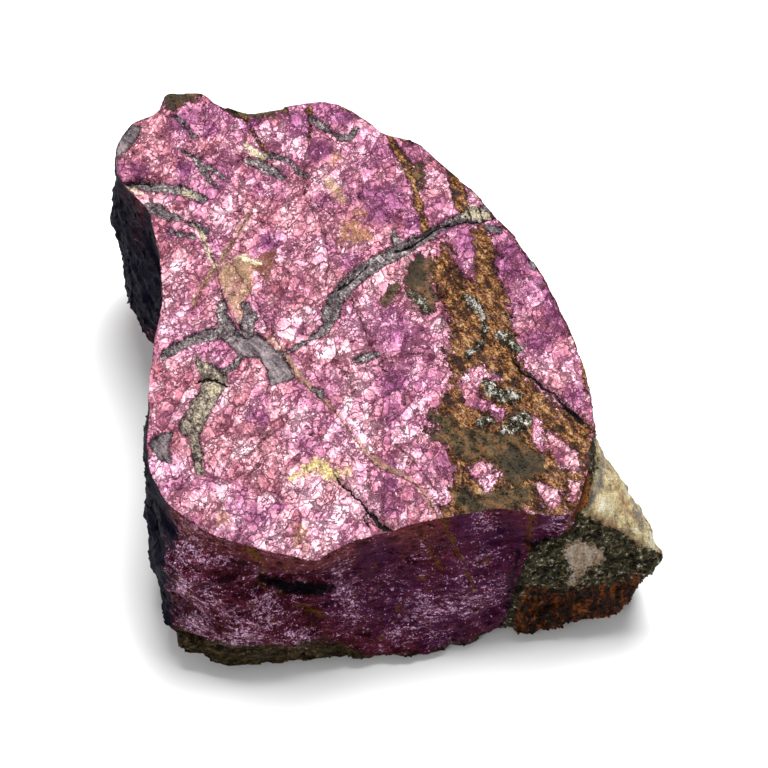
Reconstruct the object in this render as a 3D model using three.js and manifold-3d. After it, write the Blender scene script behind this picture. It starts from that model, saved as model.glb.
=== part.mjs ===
// A hand specimen of purpurite: one natural stone with a bright cleavage face on top, broken walls
// below it, and a lump of pale feldspar grown on at the front right corner.
// Millimetres, +X right, +Y to the back, +Z up. The stone lies on a small flat spot at z = 0.
import * as THREE from "three";
import { mergeVertices } from "three/addons/utils/BufferGeometryUtils.js";
import Module from "manifold-3d";

// Driving dimensions of the bright face: its height at the front lip and its fall to the front.
const LIP_HEIGHT = 20.6;
const LIP_Y = -31;
const FACE_FALL = 0.176;

// The bright face falls away to the right of a ridge, and its surface waves a little.
const RIDGE = { x: 9, y: -5, lean: 0.45, fall: 0.075 };
const WAVES = [
  { lift: 0.5, size: 17, level: 3 },
  { lift: 0.22, size: 7, level: 9 },
];
const STEP_EDGE = 0.5;
const STEP_END = 4;

// Cleavage steps in the bright face. Each runs from one point of the plan to another; the face is
// lifted on its left and slopes back to the plane within the step's reach.
const STEPS = [
  { from: [23.6, -12.8], to: [17.1, -6.7], lift: -0.6, reach: 13 },
  { from: [2.4, -27], to: [-5.9, -20], lift: -0.5, reach: 12 },
  { from: [-33, 18], to: [-22, 13], lift: 0.4, reach: 10 },
  { from: [-6, 2], to: [10, 15.6], lift: 0.35, reach: 15 },
];

// Heights at which the three outlines below are drawn. The rim follows the bright face.
const BELT_HEIGHT = 12.5;
const FOOT_HEIGHT = 0;

// How late the walls turn from the belt to the foot.
const FOOT_TUCK = 1.5;

// Spacing of the sampling lattice, and how far a slope is probed to find a surface normal.
const CELL = 1.85;
const PROBE = 0.08;
const BISECTIONS = 12;
const CELL_MARGIN = 0.02;

// How strongly a vertex is drawn to the mean of its crossings where their planes are nearly level.
const MEAN_PULL = 0.08;

// The edge of the bright face in plan, from the left corner round the back.
const RIM = [
  [-33.5, 21], [-34, 24.5], [-33.2, 26.8], [-31.5, 29], [-28.6, 30.2], [-28, 33], [-23, 33.2],
  [-21.3, 31.4], [-17, 30], [-12, 31.2], [-8, 32], [-5.5, 31.5], [-3, 30], [0, 27.6], [4.5, 26.2],
  [7.2, 23.5], [11, 19.8], [13.4, 17], [17, 12], [20, 7], [22.4, 1.5], [24, -3.5], [24.8, -8],
  [25.2, -12.5], [24.8, -16], [24, -20], [22.5, -25], [19.5, -25.2], [13.5, -24.2], [6.5, -25.8],
  [2, -27], [-4.5, -28.9], [-7.5, -30.8], [-12, -30], [-16, -29], [-21.5, -27], [-25.6, -23.8],
  [-27.8, -19.5], [-28.2, -15.5], [-28.2, -7.5], [-27.8, -2], [-27.2, 4], [-28, 10.5], [-29.2, 15.5],
];

// The widest outline of the walls, half way down. It flares out under the rim at the back left.
const BELT = [
  [-35.8, 24.5], [-35, 28.6], [-31, 33.4], [-23, 36.2], [-14, 35.6], [-6, 35.4], [0.5, 32],
  [6.5, 29], [12.5, 23], [17, 16.5], [20.8, 9.5], [24, 2], [25.2, -5], [25.4, -12], [24.3, -19],
  [22, -25.5], [18, -27], [13, -26.8], [7, -27.8], [2, -28.6], [-4, -30], [-8, -31], [-12, -31.6],
  [-17, -31.4], [-22, -30.2], [-26.2, -27.8], [-28.2, -22.6], [-29.2, -17.5], [-29, -13],
  [-27.2, -9], [-26.4, -3], [-26.4, 3], [-27.6, 7.5], [-30.2, 10.6], [-32.6, 15], [-34.8, 19.5],
];

// Where the walls would reach the ground.
const FOOT = [
  [-31, 20], [-29.5, 26], [-23, 31], [-14, 32], [-5, 31], [3, 27], [9.5, 21.5], [14.5, 14.5],
  [18.5, 7], [21.5, -1], [22.5, -9], [22, -16], [20, -22], [17.5, -27], [13.8, -29], [11, -30.6],
  [6.8, -31.2], [2, -32], [-4, -33.2], [-11.5, -35.2], [-18, -35.8], [-25, -35.4], [-28.4, -31.2],
  [-28, -26.5], [-28.2, -21], [-27, -14], [-24, -6], [-23.5, 2], [-26, 9], [-29.5, 14.5],
];

// Facets that lift the underside off the ground all round the flat spot: each starts to rise at
// `from` along its own level direction.
const UNDERSIDE = [
  { towards: [0.1, 0.99], from: 6, rise: 0.22 },
  { towards: [-0.75, 0.66], from: 19, rise: 0.4 },
  { towards: [-1, 0], from: 12, rise: 0.24 },
  { towards: [1, -0.1], from: 15, rise: 0.14 },
  { towards: [0.8, 0.6], from: 9, rise: 0.26 },
  { towards: [0, -1], from: 30, rise: 0.3 },
  { towards: [-0.75, -0.66], from: 35, rise: 0.6 },
];
const FLAT_SPOT_CUT = 0.9;

// The feldspar lump, a convex block of broken facets: a point on each and the way it faces.
const LUMP_FACETS = [
  { at: [24.6, -17, 21.4], facing: [0.68, 0.05, 0.73] },
  { at: [27, -25.6, 14], facing: [0.06, -0.97, 0.22] },
  { at: [24, -31.2, 4.4], facing: [0.04, -0.9, 0.42] },
  { at: [31.7, -26, 8], facing: [0.9, -0.42, -0.3] },
  { at: [30.4, -19.2, 16], facing: [0.85, 0.5, 0.1] },
  { at: [22, -12, 10], facing: [-0.2, 0.95, 0.1] },
  { at: [16.6, -24, 8], facing: [-0.97, 0.1, 0.1] },
];

// The lump starts this far below the bright face.
const LUMP_STEP = 0.8;

// Hollows broken out of the front: the shadowed one under the lip, the small one beside the lump,
// and the scallops along the bottom edge. The last one is the waist of the left wall.
const HOLLOWS = [
  { at: [-10.8, -34.4, 13.5], size: [5.8, 6.8, 2.8], tilt: 0.16 },
  { at: [19, -26.8, 17], size: [2.4, 2.2, 1.7], tilt: 0 },
  { at: [14.6, -32.8, 0.2], size: [3.2, 3.2, 2.6], tilt: 0 },
  { at: [26.8, -32, 1], size: [4.2, 3.8, 3.4], tilt: 0 },
  { at: [-31.6, 1, 12], size: [6, 9, 9], tilt: 0 },
];

// Swellings of the front wall below the hollow, and of the toe.
const SWELLINGS = [
  { at: [-14, -29.2, 6.8], size: [8, 4.6, 3.8], tilt: 0.25 },
  { at: [6, -26.4, 8], size: [9, 3, 6], tilt: 0 },
  { at: [-22, -26.4, 13.6], size: [4.6, 4.2, 3.2], tilt: -0.35 },
];

// Relief of the walls: scoops, how far the ridges between them stand out, and the ledges.
const WALL_SCOOPS = [
  { depth: 1.6, size: 12, shift: 0 },
  { depth: 0.9, size: 5.5, shift: 40 },
];
const WALL_RIDGES = 0.9;
const LEDGES = { height: 3.8, depth: 0.8, waviness: 0.5, waveSize: 9, frontOf: -18, leftOf: -4, fade: 6 };

// The walls are smooth where they meet the bright face, and get their relief below it.
const RELIEF_FADE = 3;

const LUMP_SCOOPS = [{ depth: 0.7, size: 6, shift: 11 }];
const LUMP_GRAIN = { depth: 0.35, size: 3.5, shift: 31 };
const UNDERSIDE_SCOOPS = { depth: 0.8, size: 7, level: 70 };

// Radii of the rounded joins of a swelling with the wall and of the lump with the purpurite.
const SWELLING_JOIN = 2.5;
const LUMP_JOIN = 0.6;

// Wide flat chips struck off the walls: a corner of the belt, a height, and the chip's radius of
// curvature and depth.
const CHIPS = [
  { corner: 0, height: 9, radius: 24, depth: 1.5 },
  { corner: 2, height: 19, radius: 26, depth: 2.2 },
  { corner: 3, height: 7, radius: 30, depth: 2.6 },
  { corner: 5, height: 17, radius: 24, depth: 2.1 },
  { corner: 6, height: 6, radius: 22, depth: 2.4 },
  { corner: 8, height: 16, radius: 30, depth: 1.8 },
  { corner: 10, height: 8, radius: 26, depth: 2.2 },
  { corner: 11, height: 18, radius: 22, depth: 1.2 },
  { corner: 13, height: 9, radius: 18, depth: 1.6 },
  { corner: 31, height: 5, radius: 16, depth: 1 },
  { corner: 35, height: 14, radius: 20, depth: 1.2 },
];

const tilt = Math.atan(FACE_FALL);

// Number between 0 and 1 that belongs to a lattice corner.
function cornerValue(i, j, k) {
  let h = Math.imul(i, 374761393) ^ Math.imul(j, 668265263) ^ Math.imul(k, 1274126177);
  h = Math.imul(h ^ (h >>> 13), 1103515245);
  h ^= h >>> 16;
  return (h >>> 0) / 4294967296;
}

const eased = (t) => t * t * (3 - 2 * t);
const between = (a, b, t) => a + (b - a) * t;
const clamped = (v, low, high) => Math.min(Math.max(v, low), high);

// Smooth noise between -1 and 1 whose lumps are about `size` across.
function noise(x, y, z, size) {
  const [u, v, w] = [x / size, y / size, z / size];
  const [i, j, k] = [Math.floor(u), Math.floor(v), Math.floor(w)];
  const [a, b, c] = [eased(u - i), eased(v - j), eased(w - k)];
  const column = (di, dj) => between(cornerValue(i + di, j + dj, k), cornerValue(i + di, j + dj, k + 1), c);
  const low = between(column(0, 0), column(1, 0), a);
  const high = between(column(0, 1), column(1, 1), a);
  return 2 * between(low, high, b) - 1;
}

// Signed distance in plan to a closed outline, negative inside it.
function outlineDistance(outline, x, y) {
  let nearest = Infinity;
  let inside = false;
  for (let i = 0, j = outline.length - 1; i < outline.length; j = i++) {
    const [ax, ay] = outline[j];
    const [bx, by] = outline[i];
    const [ex, ey, px, py] = [bx - ax, by - ay, x - ax, y - ay];
    const t = clamped((px * ex + py * ey) / (ex * ex + ey * ey), 0, 1);
    nearest = Math.min(nearest, Math.hypot(px - t * ex, py - t * ey));
    if (ay > y !== by > y && x < ax + ((y - ay) * ex) / ey) inside = !inside;
  }
  return inside ? -nearest : nearest;
}

// How much a cleavage step lifts (or, with a negative lift, lowers) a point of the bright face.
function stepLift({ from, to, lift, reach }, x, y) {
  const [ex, ey] = [to[0] - from[0], to[1] - from[1]];
  const length = Math.hypot(ex, ey);
  const along = ((x - from[0]) * ex + (y - from[1]) * ey) / length;
  const past = ((y - from[1]) * ex - (x - from[0]) * ey) / length;
  const start = eased(clamped(along / STEP_END + 1, 0, 1));
  const end = eased(clamped((length - along) / STEP_END + 1, 0, 1));
  const fade = 1 - eased(clamped(past / reach, 0, 1));
  return lift * start * end * clamped(past / STEP_EDGE + 0.5, 0, 1) * fade;
}

// Height of the bright face over a point of the plan: a tilted plane that dips a little in the
// middle, falls away along its right side and has a few low steps.
function faceHeight(x, y) {
  const plane = LIP_HEIGHT + FACE_FALL * (y - LIP_Y);
  const pastRidge = Math.max(0, x - RIDGE.x + RIDGE.lean * (y - RIDGE.y));
  const waves = WAVES.reduce((sum, { lift, size, level }) => sum + lift * noise(x, y, level, size), 0);
  const steps = STEPS.reduce((sum, step) => sum + stepLift(step, x, y), 0);
  return plane - RIDGE.fall * pastRidge + waves + steps;
}

// How far outside the walls a point is. The outline blends from rim to belt to foot with height.
function wallDistance(x, y, z) {
  const top = faceHeight(x, y);
  const upper = outlineDistance(BELT, x, y);
  if (z > BELT_HEIGHT) {
    const share = clamped((z - BELT_HEIGHT) / (top - BELT_HEIGHT), 0, 1);
    return between(upper, outlineDistance(RIM, x, y), share);
  }
  const share = clamped((BELT_HEIGHT - z) / (BELT_HEIGHT - FOOT_HEIGHT), 0, 1);
  return between(upper, outlineDistance(FOOT, x, y), share ** FOOT_TUCK);
}

// Crisp ridges between shallow scoops of a few sizes. `shift` moves the pattern along X.
function scoopDepth(scoops, x, y, z) {
  let sum = 0;
  for (const { depth, size, shift } of scoops) sum += depth * Math.abs(noise(x + shift, y, z, size));
  return sum;
}

// Broken rock of the walls: scoops everywhere, and level ledges on the left of the front.
function brokenRelief(x, y, z) {
  const level = z / LEDGES.height + LEDGES.waviness * noise(x, y, z, LEDGES.waveSize);
  const onFront = clamped((LEDGES.frontOf - y) / LEDGES.fade, 0, 1);
  const onLeft = clamped((LEDGES.leftOf - x) / LEDGES.fade, 0, 1);
  const ledge = LEDGES.depth * (level - Math.floor(level)) * onFront * onLeft;
  return scoopDepth(WALL_SCOOPS, x, y, z) - WALL_RIDGES + ledge;
}

// Distance to an ellipsoid, turned about +Y by `tilt` radians, good enough near its surface.
function blobDistance({ at, size, tilt }, x, y, z) {
  const [dx, dy, dz] = [x - at[0], y - at[1], z - at[2]];
  const u = dx * Math.cos(tilt) - dz * Math.sin(tilt);
  const w = dx * Math.sin(tilt) + dz * Math.cos(tilt);
  const scaled = Math.hypot(u / size[0], dy / size[1], w / size[2]);
  return (scaled - 1) * Math.min(...size);
}

// Union of two distances with a rounded join of the given radius.
function softUnion(a, b, radius) {
  const overlap = Math.max(radius - Math.abs(a - b), 0) / radius;
  return Math.min(a, b) - (overlap * overlap * radius) / 4;
}

// Signed distance to the ball whose surface leaves a chip.
function chipDistance({ corner, height, radius, depth }, x, y, z) {
  const [before, at, after] = [-1, 0, 1].map((step) => BELT[(corner + step + BELT.length) % BELT.length]);
  const along = [after[0] - before[0], after[1] - before[1]];
  const length = Math.hypot(...along);
  const out = (radius - depth) / length;
  return Math.hypot(x - at[0] + along[1] * out, y - at[1] - along[0] * out, z - height) - radius;
}

// Signed distance to the feldspar lump.
function lumpDistance(x, y, z) {
  let d = -Infinity;
  for (const { at, facing } of LUMP_FACETS) {
    const length = Math.hypot(...facing);
    const along = (x - at[0]) * facing[0] + (y - at[1]) * facing[1] + (z - at[2]) * facing[2];
    d = Math.max(d, along / length);
  }
  const grain = LUMP_GRAIN.depth * noise(x, y + LUMP_GRAIN.shift, z, LUMP_GRAIN.size);
  return d + scoopDepth(LUMP_SCOOPS, x, y, z) + grain;
}

// Signed distance to the underside facets, which leave the flat spot between them.
function undersideDistance(x, y, z) {
  let lift = -FLAT_SPOT_CUT;
  for (const { towards, from, rise } of UNDERSIDE) {
    lift = Math.max(lift, rise * (x * towards[0] + y * towards[1] - from));
  }
  const { depth, size, level } = UNDERSIDE_SCOOPS;
  return lift - z + depth * Math.abs(noise(x, y, z + level, size));
}

// Signed distance to the whole stone.
function stoneDistance(x, y, z) {
  const aboveFace = z - faceHeight(x, y);
  let wall = wallDistance(x, y, z) + brokenRelief(x, y, z) * clamped(-aboveFace / RELIEF_FADE, 0, 1);
  for (const swelling of SWELLINGS) wall = softUnion(wall, blobDistance(swelling, x, y, z), SWELLING_JOIN);
  for (const chip of CHIPS) wall = Math.max(wall, -chipDistance(chip, x, y, z));
  let d = Math.max(wall, aboveFace * Math.cos(tilt));
  d = softUnion(d, Math.max(lumpDistance(x, y, z), aboveFace + LUMP_STEP), LUMP_JOIN);
  d = Math.max(d, undersideDistance(x, y, z));
  for (const hollow of HOLLOWS) d = Math.max(d, -blobDistance(hollow, x, y, z));
  return d;
}

// Best meeting point of the tangent planes found where a cell's edges cross the surface.
function featurePoint(crossings, low, cell) {
  const mean = [0, 0, 0];
  for (const { point } of crossings) point.forEach((v, a) => (mean[a] += v / crossings.length));
  const rows = [0, 0, 0, 0, 0, 0, 0, 0, 0];
  const right = [0, 0, 0];
  for (const { point, normal } of crossings) {
    const offset = normal.reduce((sum, n, a) => sum + n * (point[a] - mean[a]), 0);
    for (let a = 0; a < 3; a++) {
      right[a] += normal[a] * offset;
      for (let b = 0; b < 3; b++) rows[3 * a + b] += normal[a] * normal[b];
    }
  }
  for (let a = 0; a < 3; a++) rows[4 * a] += MEAN_PULL;
  const solve = new THREE.Matrix3().set(...rows).invert();
  const shift = new THREE.Vector3(...right).applyMatrix3(solve);
  const best = mean.map((v, a) => v + shift.getComponent(a));
  return best.map((v, a) => clamped(v, low[a] + CELL_MARGIN, low[a] + cell - CELL_MARGIN));
}

// The twelve edges of a cell, each as its axis and its place across the other two axes.
const ACROSS = [[0, 0], [1, 0], [0, 1], [1, 1]];
const CELL_EDGES = [0, 1, 2].flatMap((axis) => ACROSS.map((across) => ({ axis, across })));
const edgeNumber = (axis, s, t) => 4 * axis + s + 2 * t;

// Corner of a cell as its three steps, from a place across an axis and a step along it.
function cornerSteps(axis, s, t, along) {
  const steps = [0, 0, 0];
  steps[axis] = along;
  steps[(axis + 1) % 3] = s;
  steps[(axis + 2) % 3] = t;
  return steps;
}

// The edges round one face of a cell, each with the corner that it starts at.
function faceLoop(axis, side) {
  const [b, c] = [(axis + 1) % 3, (axis + 2) % 3];
  const corners = [[0, 0], [1, 0], [1, 1], [0, 1]].map(([s, t]) => cornerSteps(axis, s, t, side));
  const [near, right] = [edgeNumber(b, 0, side), edgeNumber(c, side, 1)];
  const [far, left] = [edgeNumber(b, 1, side), edgeNumber(c, side, 0)];
  const edges = [near, right, far, left];
  return edges.map((edge, n) => ({ edge, corner: corners[n] }));
}
const CELL_FACES = [0, 1, 2].flatMap((axis) => [faceLoop(axis, 0), faceLoop(axis, 1)]);

// Closed mesh of the zero surface of a distance, with its sharp edges kept (dual contouring). A
// cell that the surface passes through twice gets two vertices, so the mesh stays a manifold.
function contour(distance, low, high, cell) {
  const count = low.map((v, a) => Math.ceil((high[a] - v) / cell));
  const corner = (i, j, k) => (k * (count[1] + 1) + j) * (count[0] + 1) + i;
  const place = (i, j, k) => [low[0] + i * cell, low[1] + j * cell, low[2] + k * cell];
  const values = new Float64Array((count[0] + 1) * (count[1] + 1) * (count[2] + 1));
  for (let k = 0; k <= count[2]; k++)
    for (let j = 0; j <= count[1]; j++)
      for (let i = 0; i <= count[0]; i++) values[corner(i, j, k)] = distance(...place(i, j, k));
  const isInside = (i, j, k) => values[corner(i, j, k)] < 0;

  const slope = (p) => {
    const g = [0, 1, 2].map((a) => {
      const ahead = p.map((v, b) => (a === b ? v + PROBE : v));
      const behind = p.map((v, b) => (a === b ? v - PROBE : v));
      return distance(...ahead) - distance(...behind);
    });
    const length = Math.hypot(...g) || 1;
    return g.map((v) => v / length);
  };

  // Where the surface crosses the edge from one lattice corner to its neighbour along an axis.
  const crossings = new Map();
  const crossing = (i, j, k, axis) => {
    const key = corner(i, j, k) * 3 + axis;
    if (crossings.has(key)) return crossings.get(key);
    const start = place(i, j, k);
    const inside = isInside(i, j, k);
    let [near, far] = [0, cell];
    for (let step = 0; step < BISECTIONS; step++) {
      const middle = (near + far) / 2;
      const p = start.map((v, a) => (a === axis ? v + middle : v));
      if (distance(...p) < 0 === inside) near = middle;
      else far = middle;
    }
    const point = start.map((v, a) => (a === axis ? v + (near + far) / 2 : v));
    crossings.set(key, { point, normal: slope(point) });
    return crossings.get(key);
  };

  // The vertex of each edge of a cell: edges that the same sheet of the surface crosses share one.
  const positions = [];
  const cells = new Map();
  const verticesOfCell = (i, j, k) => {
    const key = corner(i, j, k);
    if (cells.has(key)) return cells.get(key);
    const group = CELL_EDGES.map((_, n) => n);
    const join = (m, n) => {
      const [from, to] = [group[m], group[n]];
      group.forEach((g, e) => (group[e] = g === from ? to : g));
    };
    for (const loop of CELL_FACES) {
      const inside = loop.map(({ corner: [di, dj, dk] }) => isInside(i + di, j + dj, k + dk));
      const cut = loop.filter((_, n) => inside[n] !== inside[(n + 1) % 4]);
      if (cut.length === 2) join(cut[0].edge, cut[1].edge);
      if (cut.length === 4) inside.forEach((v, n) => v && join(loop[n].edge, loop[(n + 3) % 4].edge));
    }
    const sheets = new Map();
    CELL_EDGES.forEach(({ axis, across: [s, t] }, n) => {
      const from = cornerSteps(axis, s, t, 0);
      const to = cornerSteps(axis, s, t, 1);
      const start = [i + from[0], j + from[1], k + from[2]];
      if (isInside(...start) === isInside(i + to[0], j + to[1], k + to[2])) return;
      if (!sheets.has(group[n])) sheets.set(group[n], { crossings: [], edges: [] });
      sheets.get(group[n]).crossings.push(crossing(...start, axis));
      sheets.get(group[n]).edges.push(n);
    });
    const vertices = new Array(CELL_EDGES.length).fill(-1);
    for (const sheet of sheets.values()) {
      for (const n of sheet.edges) vertices[n] = positions.length / 3;
      positions.push(...featurePoint(sheet.crossings, place(i, j, k), cell));
    }
    cells.set(key, vertices);
    return vertices;
  };

  const triangles = [];
  for (let k = 1; k < count[2]; k++)
    for (let j = 1; j < count[1]; j++)
      for (let i = 1; i < count[0]; i++)
        for (let axis = 0; axis < 3; axis++) {
          const [ai, aj, ak] = cornerSteps(axis, 0, 0, 1);
          const inside = isInside(i, j, k);
          if (inside === isInside(i + ai, j + aj, k + ak)) continue;
          const ring = [[1, 1], [0, 1], [0, 0], [1, 0]].map(([s, t]) => {
            const [di, dj, dk] = cornerSteps(axis, s, t, 0);
            return verticesOfCell(i - di, j - dj, k - dk)[edgeNumber(axis, s, t)];
          });
          if (!inside) ring.reverse();
          triangles.push(ring[0], ring[1], ring[2], ring[0], ring[2], ring[3]);
        }

  const geometry = new THREE.BufferGeometry();
  geometry.setAttribute("position", new THREE.Float32BufferAttribute(positions, 3));
  geometry.setIndex(triangles);
  return geometry;
}

// A closed geometry as a solid that can be cut.
function solidOf(wasm, geometry) {
  const bare = geometry.clone();
  bare.deleteAttribute("normal");
  bare.deleteAttribute("uv");
  const merged = mergeVertices(bare, 1e-4);
  return new wasm.Manifold(
    new wasm.Mesh({
      numProp: 3,
      vertProperties: merged.attributes.position.array,
      triVerts: new Uint32Array(merged.index.array),
    }),
  );
}

function geometryOf(solid) {
  const mesh = solid.getMesh();
  const positions = new Float32Array(mesh.numVert * 3);
  for (let i = 0; i < mesh.numVert; i++) {
    positions.set(mesh.vertProperties.subarray(i * mesh.numProp, i * mesh.numProp + 3), i * 3);
  }
  const geometry = new THREE.BufferGeometry();
  geometry.setAttribute("position", new THREE.BufferAttribute(positions, 3));
  geometry.setIndex(new THREE.BufferAttribute(mesh.triVerts, 1));
  return geometry;
}

// The lattice is tilted with the bright face, which lies half way up one of its layers.
const faceLevel = (LIP_HEIGHT - FACE_FALL * LIP_Y) * Math.cos(tilt);
const layersBelow = 17.5;
const layersAbove = 2.5;
const lowCorner = [-41, -43, faceLevel - layersBelow * CELL];
const highCorner = [41, 45, faceLevel + layersAbove * CELL];
function tiltedDistance(x, v, w) {
  return stoneDistance(x, v * Math.cos(tilt) - w * Math.sin(tilt), v * Math.sin(tilt) + w * Math.cos(tilt));
}

// The stone is contoured a little below the ground and then cut off there, which leaves the
// small flat spot that it rests on.
const wasm = await Module();
wasm.setup();
const rough = contour(tiltedDistance, lowCorner, highCorner, CELL).rotateX(tilt);
const ground = new THREE.BoxGeometry(200, 200, 20).translate(0, 0, -10);
const stone = geometryOf(solidOf(wasm, rough).subtract(solidOf(wasm, ground)));

// The origin is under the middle of the stone's box, on the ground.
stone.computeBoundingBox();
const middle = stone.boundingBox.getCenter(new THREE.Vector3());
stone.translate(-middle.x, -middle.y, 0);

const purpurite = new THREE.MeshStandardMaterial({ color: 0xa8487c, roughness: 0.45, metalness: 0.2 });
const specimen = new THREE.Mesh(stone, purpurite);
specimen.name = "purpurite_stone";

const part = new THREE.Group();
part.add(specimen);

export default part;
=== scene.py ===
import logging
import math
from dataclasses import dataclass
from enum import Enum

import bpy
import numpy as np
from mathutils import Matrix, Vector
from mathutils.kdtree import KDTree


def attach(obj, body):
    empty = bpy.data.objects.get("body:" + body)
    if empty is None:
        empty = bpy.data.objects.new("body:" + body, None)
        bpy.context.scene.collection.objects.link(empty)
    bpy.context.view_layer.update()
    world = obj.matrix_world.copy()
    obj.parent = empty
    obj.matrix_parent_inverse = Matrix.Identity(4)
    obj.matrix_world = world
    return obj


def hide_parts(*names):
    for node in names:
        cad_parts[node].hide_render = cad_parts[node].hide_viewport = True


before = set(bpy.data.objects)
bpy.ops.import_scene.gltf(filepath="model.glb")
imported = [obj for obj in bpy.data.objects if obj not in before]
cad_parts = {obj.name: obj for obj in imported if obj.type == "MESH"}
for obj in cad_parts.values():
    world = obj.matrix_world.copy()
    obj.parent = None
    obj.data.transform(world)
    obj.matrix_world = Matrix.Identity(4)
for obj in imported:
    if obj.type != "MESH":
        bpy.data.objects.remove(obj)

# A hand specimen of purpurite: one broken stone with a bright cleavage face on top, dark walls and
# a lump of feldspar. Lengths are in millimetres here, and in metres once they reach Blender.
# A point of the photograph is (x, y) in its frame of 768 by 768 pixels.
MM = 0.001
PHOTO_SIZE = 768
STONE_NODE = "purpurite_stone"

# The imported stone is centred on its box. Its bright face and outlines are drawn about this point.
DRAWING_ORIGIN = np.array([1.096, -0.549, 0.0])

# The bright face: its height at the front lip, and its fall to the front.
LIP_HEIGHT = 20.6
LIP_Y = -31.0
FACE_FALL = 0.176
FACE_NORMAL = np.array([0.0, -FACE_FALL, 1.0]) / math.hypot(FACE_FALL, 1.0)

# How the solid's faces are told apart: by the least share of their normal along a direction (the
# bright face's, the camera's, or down), and by their height.
BRIGHT_FACING = 0.86
BRIGHT_DEPTH = -3.6
SHOWN_FACING = -0.15
SHOWN_HEIGHT = 0.3
BENEATH_FACING = 0.75
FLAT_SPOT_HEIGHT = 0.01
SPREAD_PASSES = 400

# The solid's vertices are joined on a grid this fine. Smoothing moves each of them this share of the
# way to its neighbours, and the broken facets are warped this far.
JOINTS_PER_MM = 1000
SMOOTHING = 0.5
FACET_WARP = 0.7

# How far the rim and the cracks are measured, the widest gap in pixels of the photograph, and the
# strip within the box over which small pieces thin out.
RIM_REACH = 8
CRACK_REACH = 3
WIDEST_GAP = 4
BOX_MARGIN = (0.4, 1.2)

# The middle of a pattern, and of the tone that each small piece has.
MIDDLE = 0.5

# Stands for 0 where something is divided by a length.
TINY = 1e-12

log = logging.getLogger("purpurite")


def srgb(red: int, green: int, blue: int) -> tuple[float, float, float, float]:
    """Turns a display colour into a linear one.

    Args:
        red: Red from 0 to 255.
        green: Green from 0 to 255.
        blue: Blue from 0 to 255.

    Returns:
        Linear red, green and blue from 0 to 1, and an alpha of 1.
    """
    parts = [c / 255 for c in (red, green, blue)]
    linear = [c / 12.92 if c <= 0.04045 else ((c + 0.055) / 1.055) ** 2.4 for c in parts]
    return (*linear, 1.0)


@dataclass(frozen=True)
class ViewPoint:
    """The place that the photograph was taken from.

    Attributes:
        elevation: Angle of the view above the horizontal, in degrees.
        pixels_per_mm: Scale of the photograph at the target.
        lens: Focal length on a sensor that is `sensor` wide.
        sensor: Width of the sensor.
        target_height: Height of the point at the middle of the photograph.
    """

    elevation: float = 52.0
    pixels_per_mm: float = 8.0
    lens: float = 120.0
    sensor: float = 36.0
    target_height: float = 14.0

    @property
    def focal_pixels(self) -> float:
        """Focal length in pixels of the photograph."""
        return PHOTO_SIZE * self.lens / self.sensor

    @property
    def target(self) -> np.ndarray:
        """Point at the middle of the photograph, in the shared frame."""
        return DRAWING_ORIGIN + np.array([0.0, 0.0, self.target_height])

    @property
    def towards_camera(self) -> np.ndarray:
        """Unit vector from the target to the camera."""
        angle = math.radians(self.elevation)
        return np.array([0.0, -math.cos(angle), math.sin(angle)])

    @property
    def position(self) -> np.ndarray:
        """Place of the camera, in the shared frame."""
        return self.target + self.towards_camera * self.focal_pixels / self.pixels_per_mm

    def project(self, points: np.ndarray) -> np.ndarray:
        """Finds where points of the stone lie in the photograph.

        Args:
            points: Points in the shared frame, one a row.

        Returns:
            Their photograph pixels, one a row.
        """
        offset = points - self.position
        depth = -(offset @ self.towards_camera)
        up = np.array([0.0, self.towards_camera[2], -self.towards_camera[1]])
        middle = PHOTO_SIZE / 2
        across = middle + self.focal_pixels * offset[:, 0] / depth
        down = middle - self.focal_pixels * (offset @ up) / depth
        return np.stack([across, down], axis=1)

    def build(self) -> bpy.types.Object:
        """Makes the camera and sets it as the scene's.

        Returns:
            The camera object.
        """
        data = bpy.data.cameras.new("photo_view")
        data.lens = self.lens
        data.sensor_width = self.sensor
        data.clip_start = 0.01
        data.clip_end = 20.0
        camera = bpy.data.objects.new("photo_view", data)
        bpy.context.scene.collection.objects.link(camera)
        camera.location = Vector(self.position * MM)
        camera.rotation_euler = Vector(self.towards_camera).to_track_quat("Z", "Y").to_euler()
        bpy.context.scene.camera = camera
        return camera


def hashed(cells: np.ndarray, seed: int) -> np.ndarray:
    """Gives each lattice cell a number of its own.

    Args:
        cells: Whole-numbered cells, three numbers in the last axis.
        seed: Chooses another set of numbers.

    Returns:
        Numbers from 0 to 1, one a cell.
    """
    i, j, k = (cells[..., a].astype(np.int64).astype(np.uint32) for a in range(3))
    with np.errstate(over="ignore"):
        h = i * np.uint32(374761393) ^ j * np.uint32(668265263) ^ k * np.uint32(1274126177)
        h = (h ^ np.uint32(seed * 2654435 + 97)) * np.uint32(1103515245)
        h = (h ^ (h >> np.uint32(13))) * np.uint32(2246822519)
        h = h ^ (h >> np.uint32(16))
    return h.astype(np.float64) / 4294967295.0


def noise(points: np.ndarray, size: float, seed: int = 0) -> np.ndarray:
    """Smooth noise.

    Args:
        points: Points, one a row.
        size: How far apart its lumps are.
        seed: Chooses another pattern.

    Returns:
        Numbers from -1 to 1, one a point.
    """
    grid = points / size
    low = np.floor(grid)
    share = grid - low
    share = share * share * (3 - 2 * share)
    total = np.zeros(len(points))
    for corner in np.ndindex(2, 2, 2):
        step = np.array(corner)
        weight = np.prod(np.where(step == 1, share, 1 - share), axis=1)
        total += weight * hashed(low + step, seed)
    return 2 * total - 1


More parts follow.
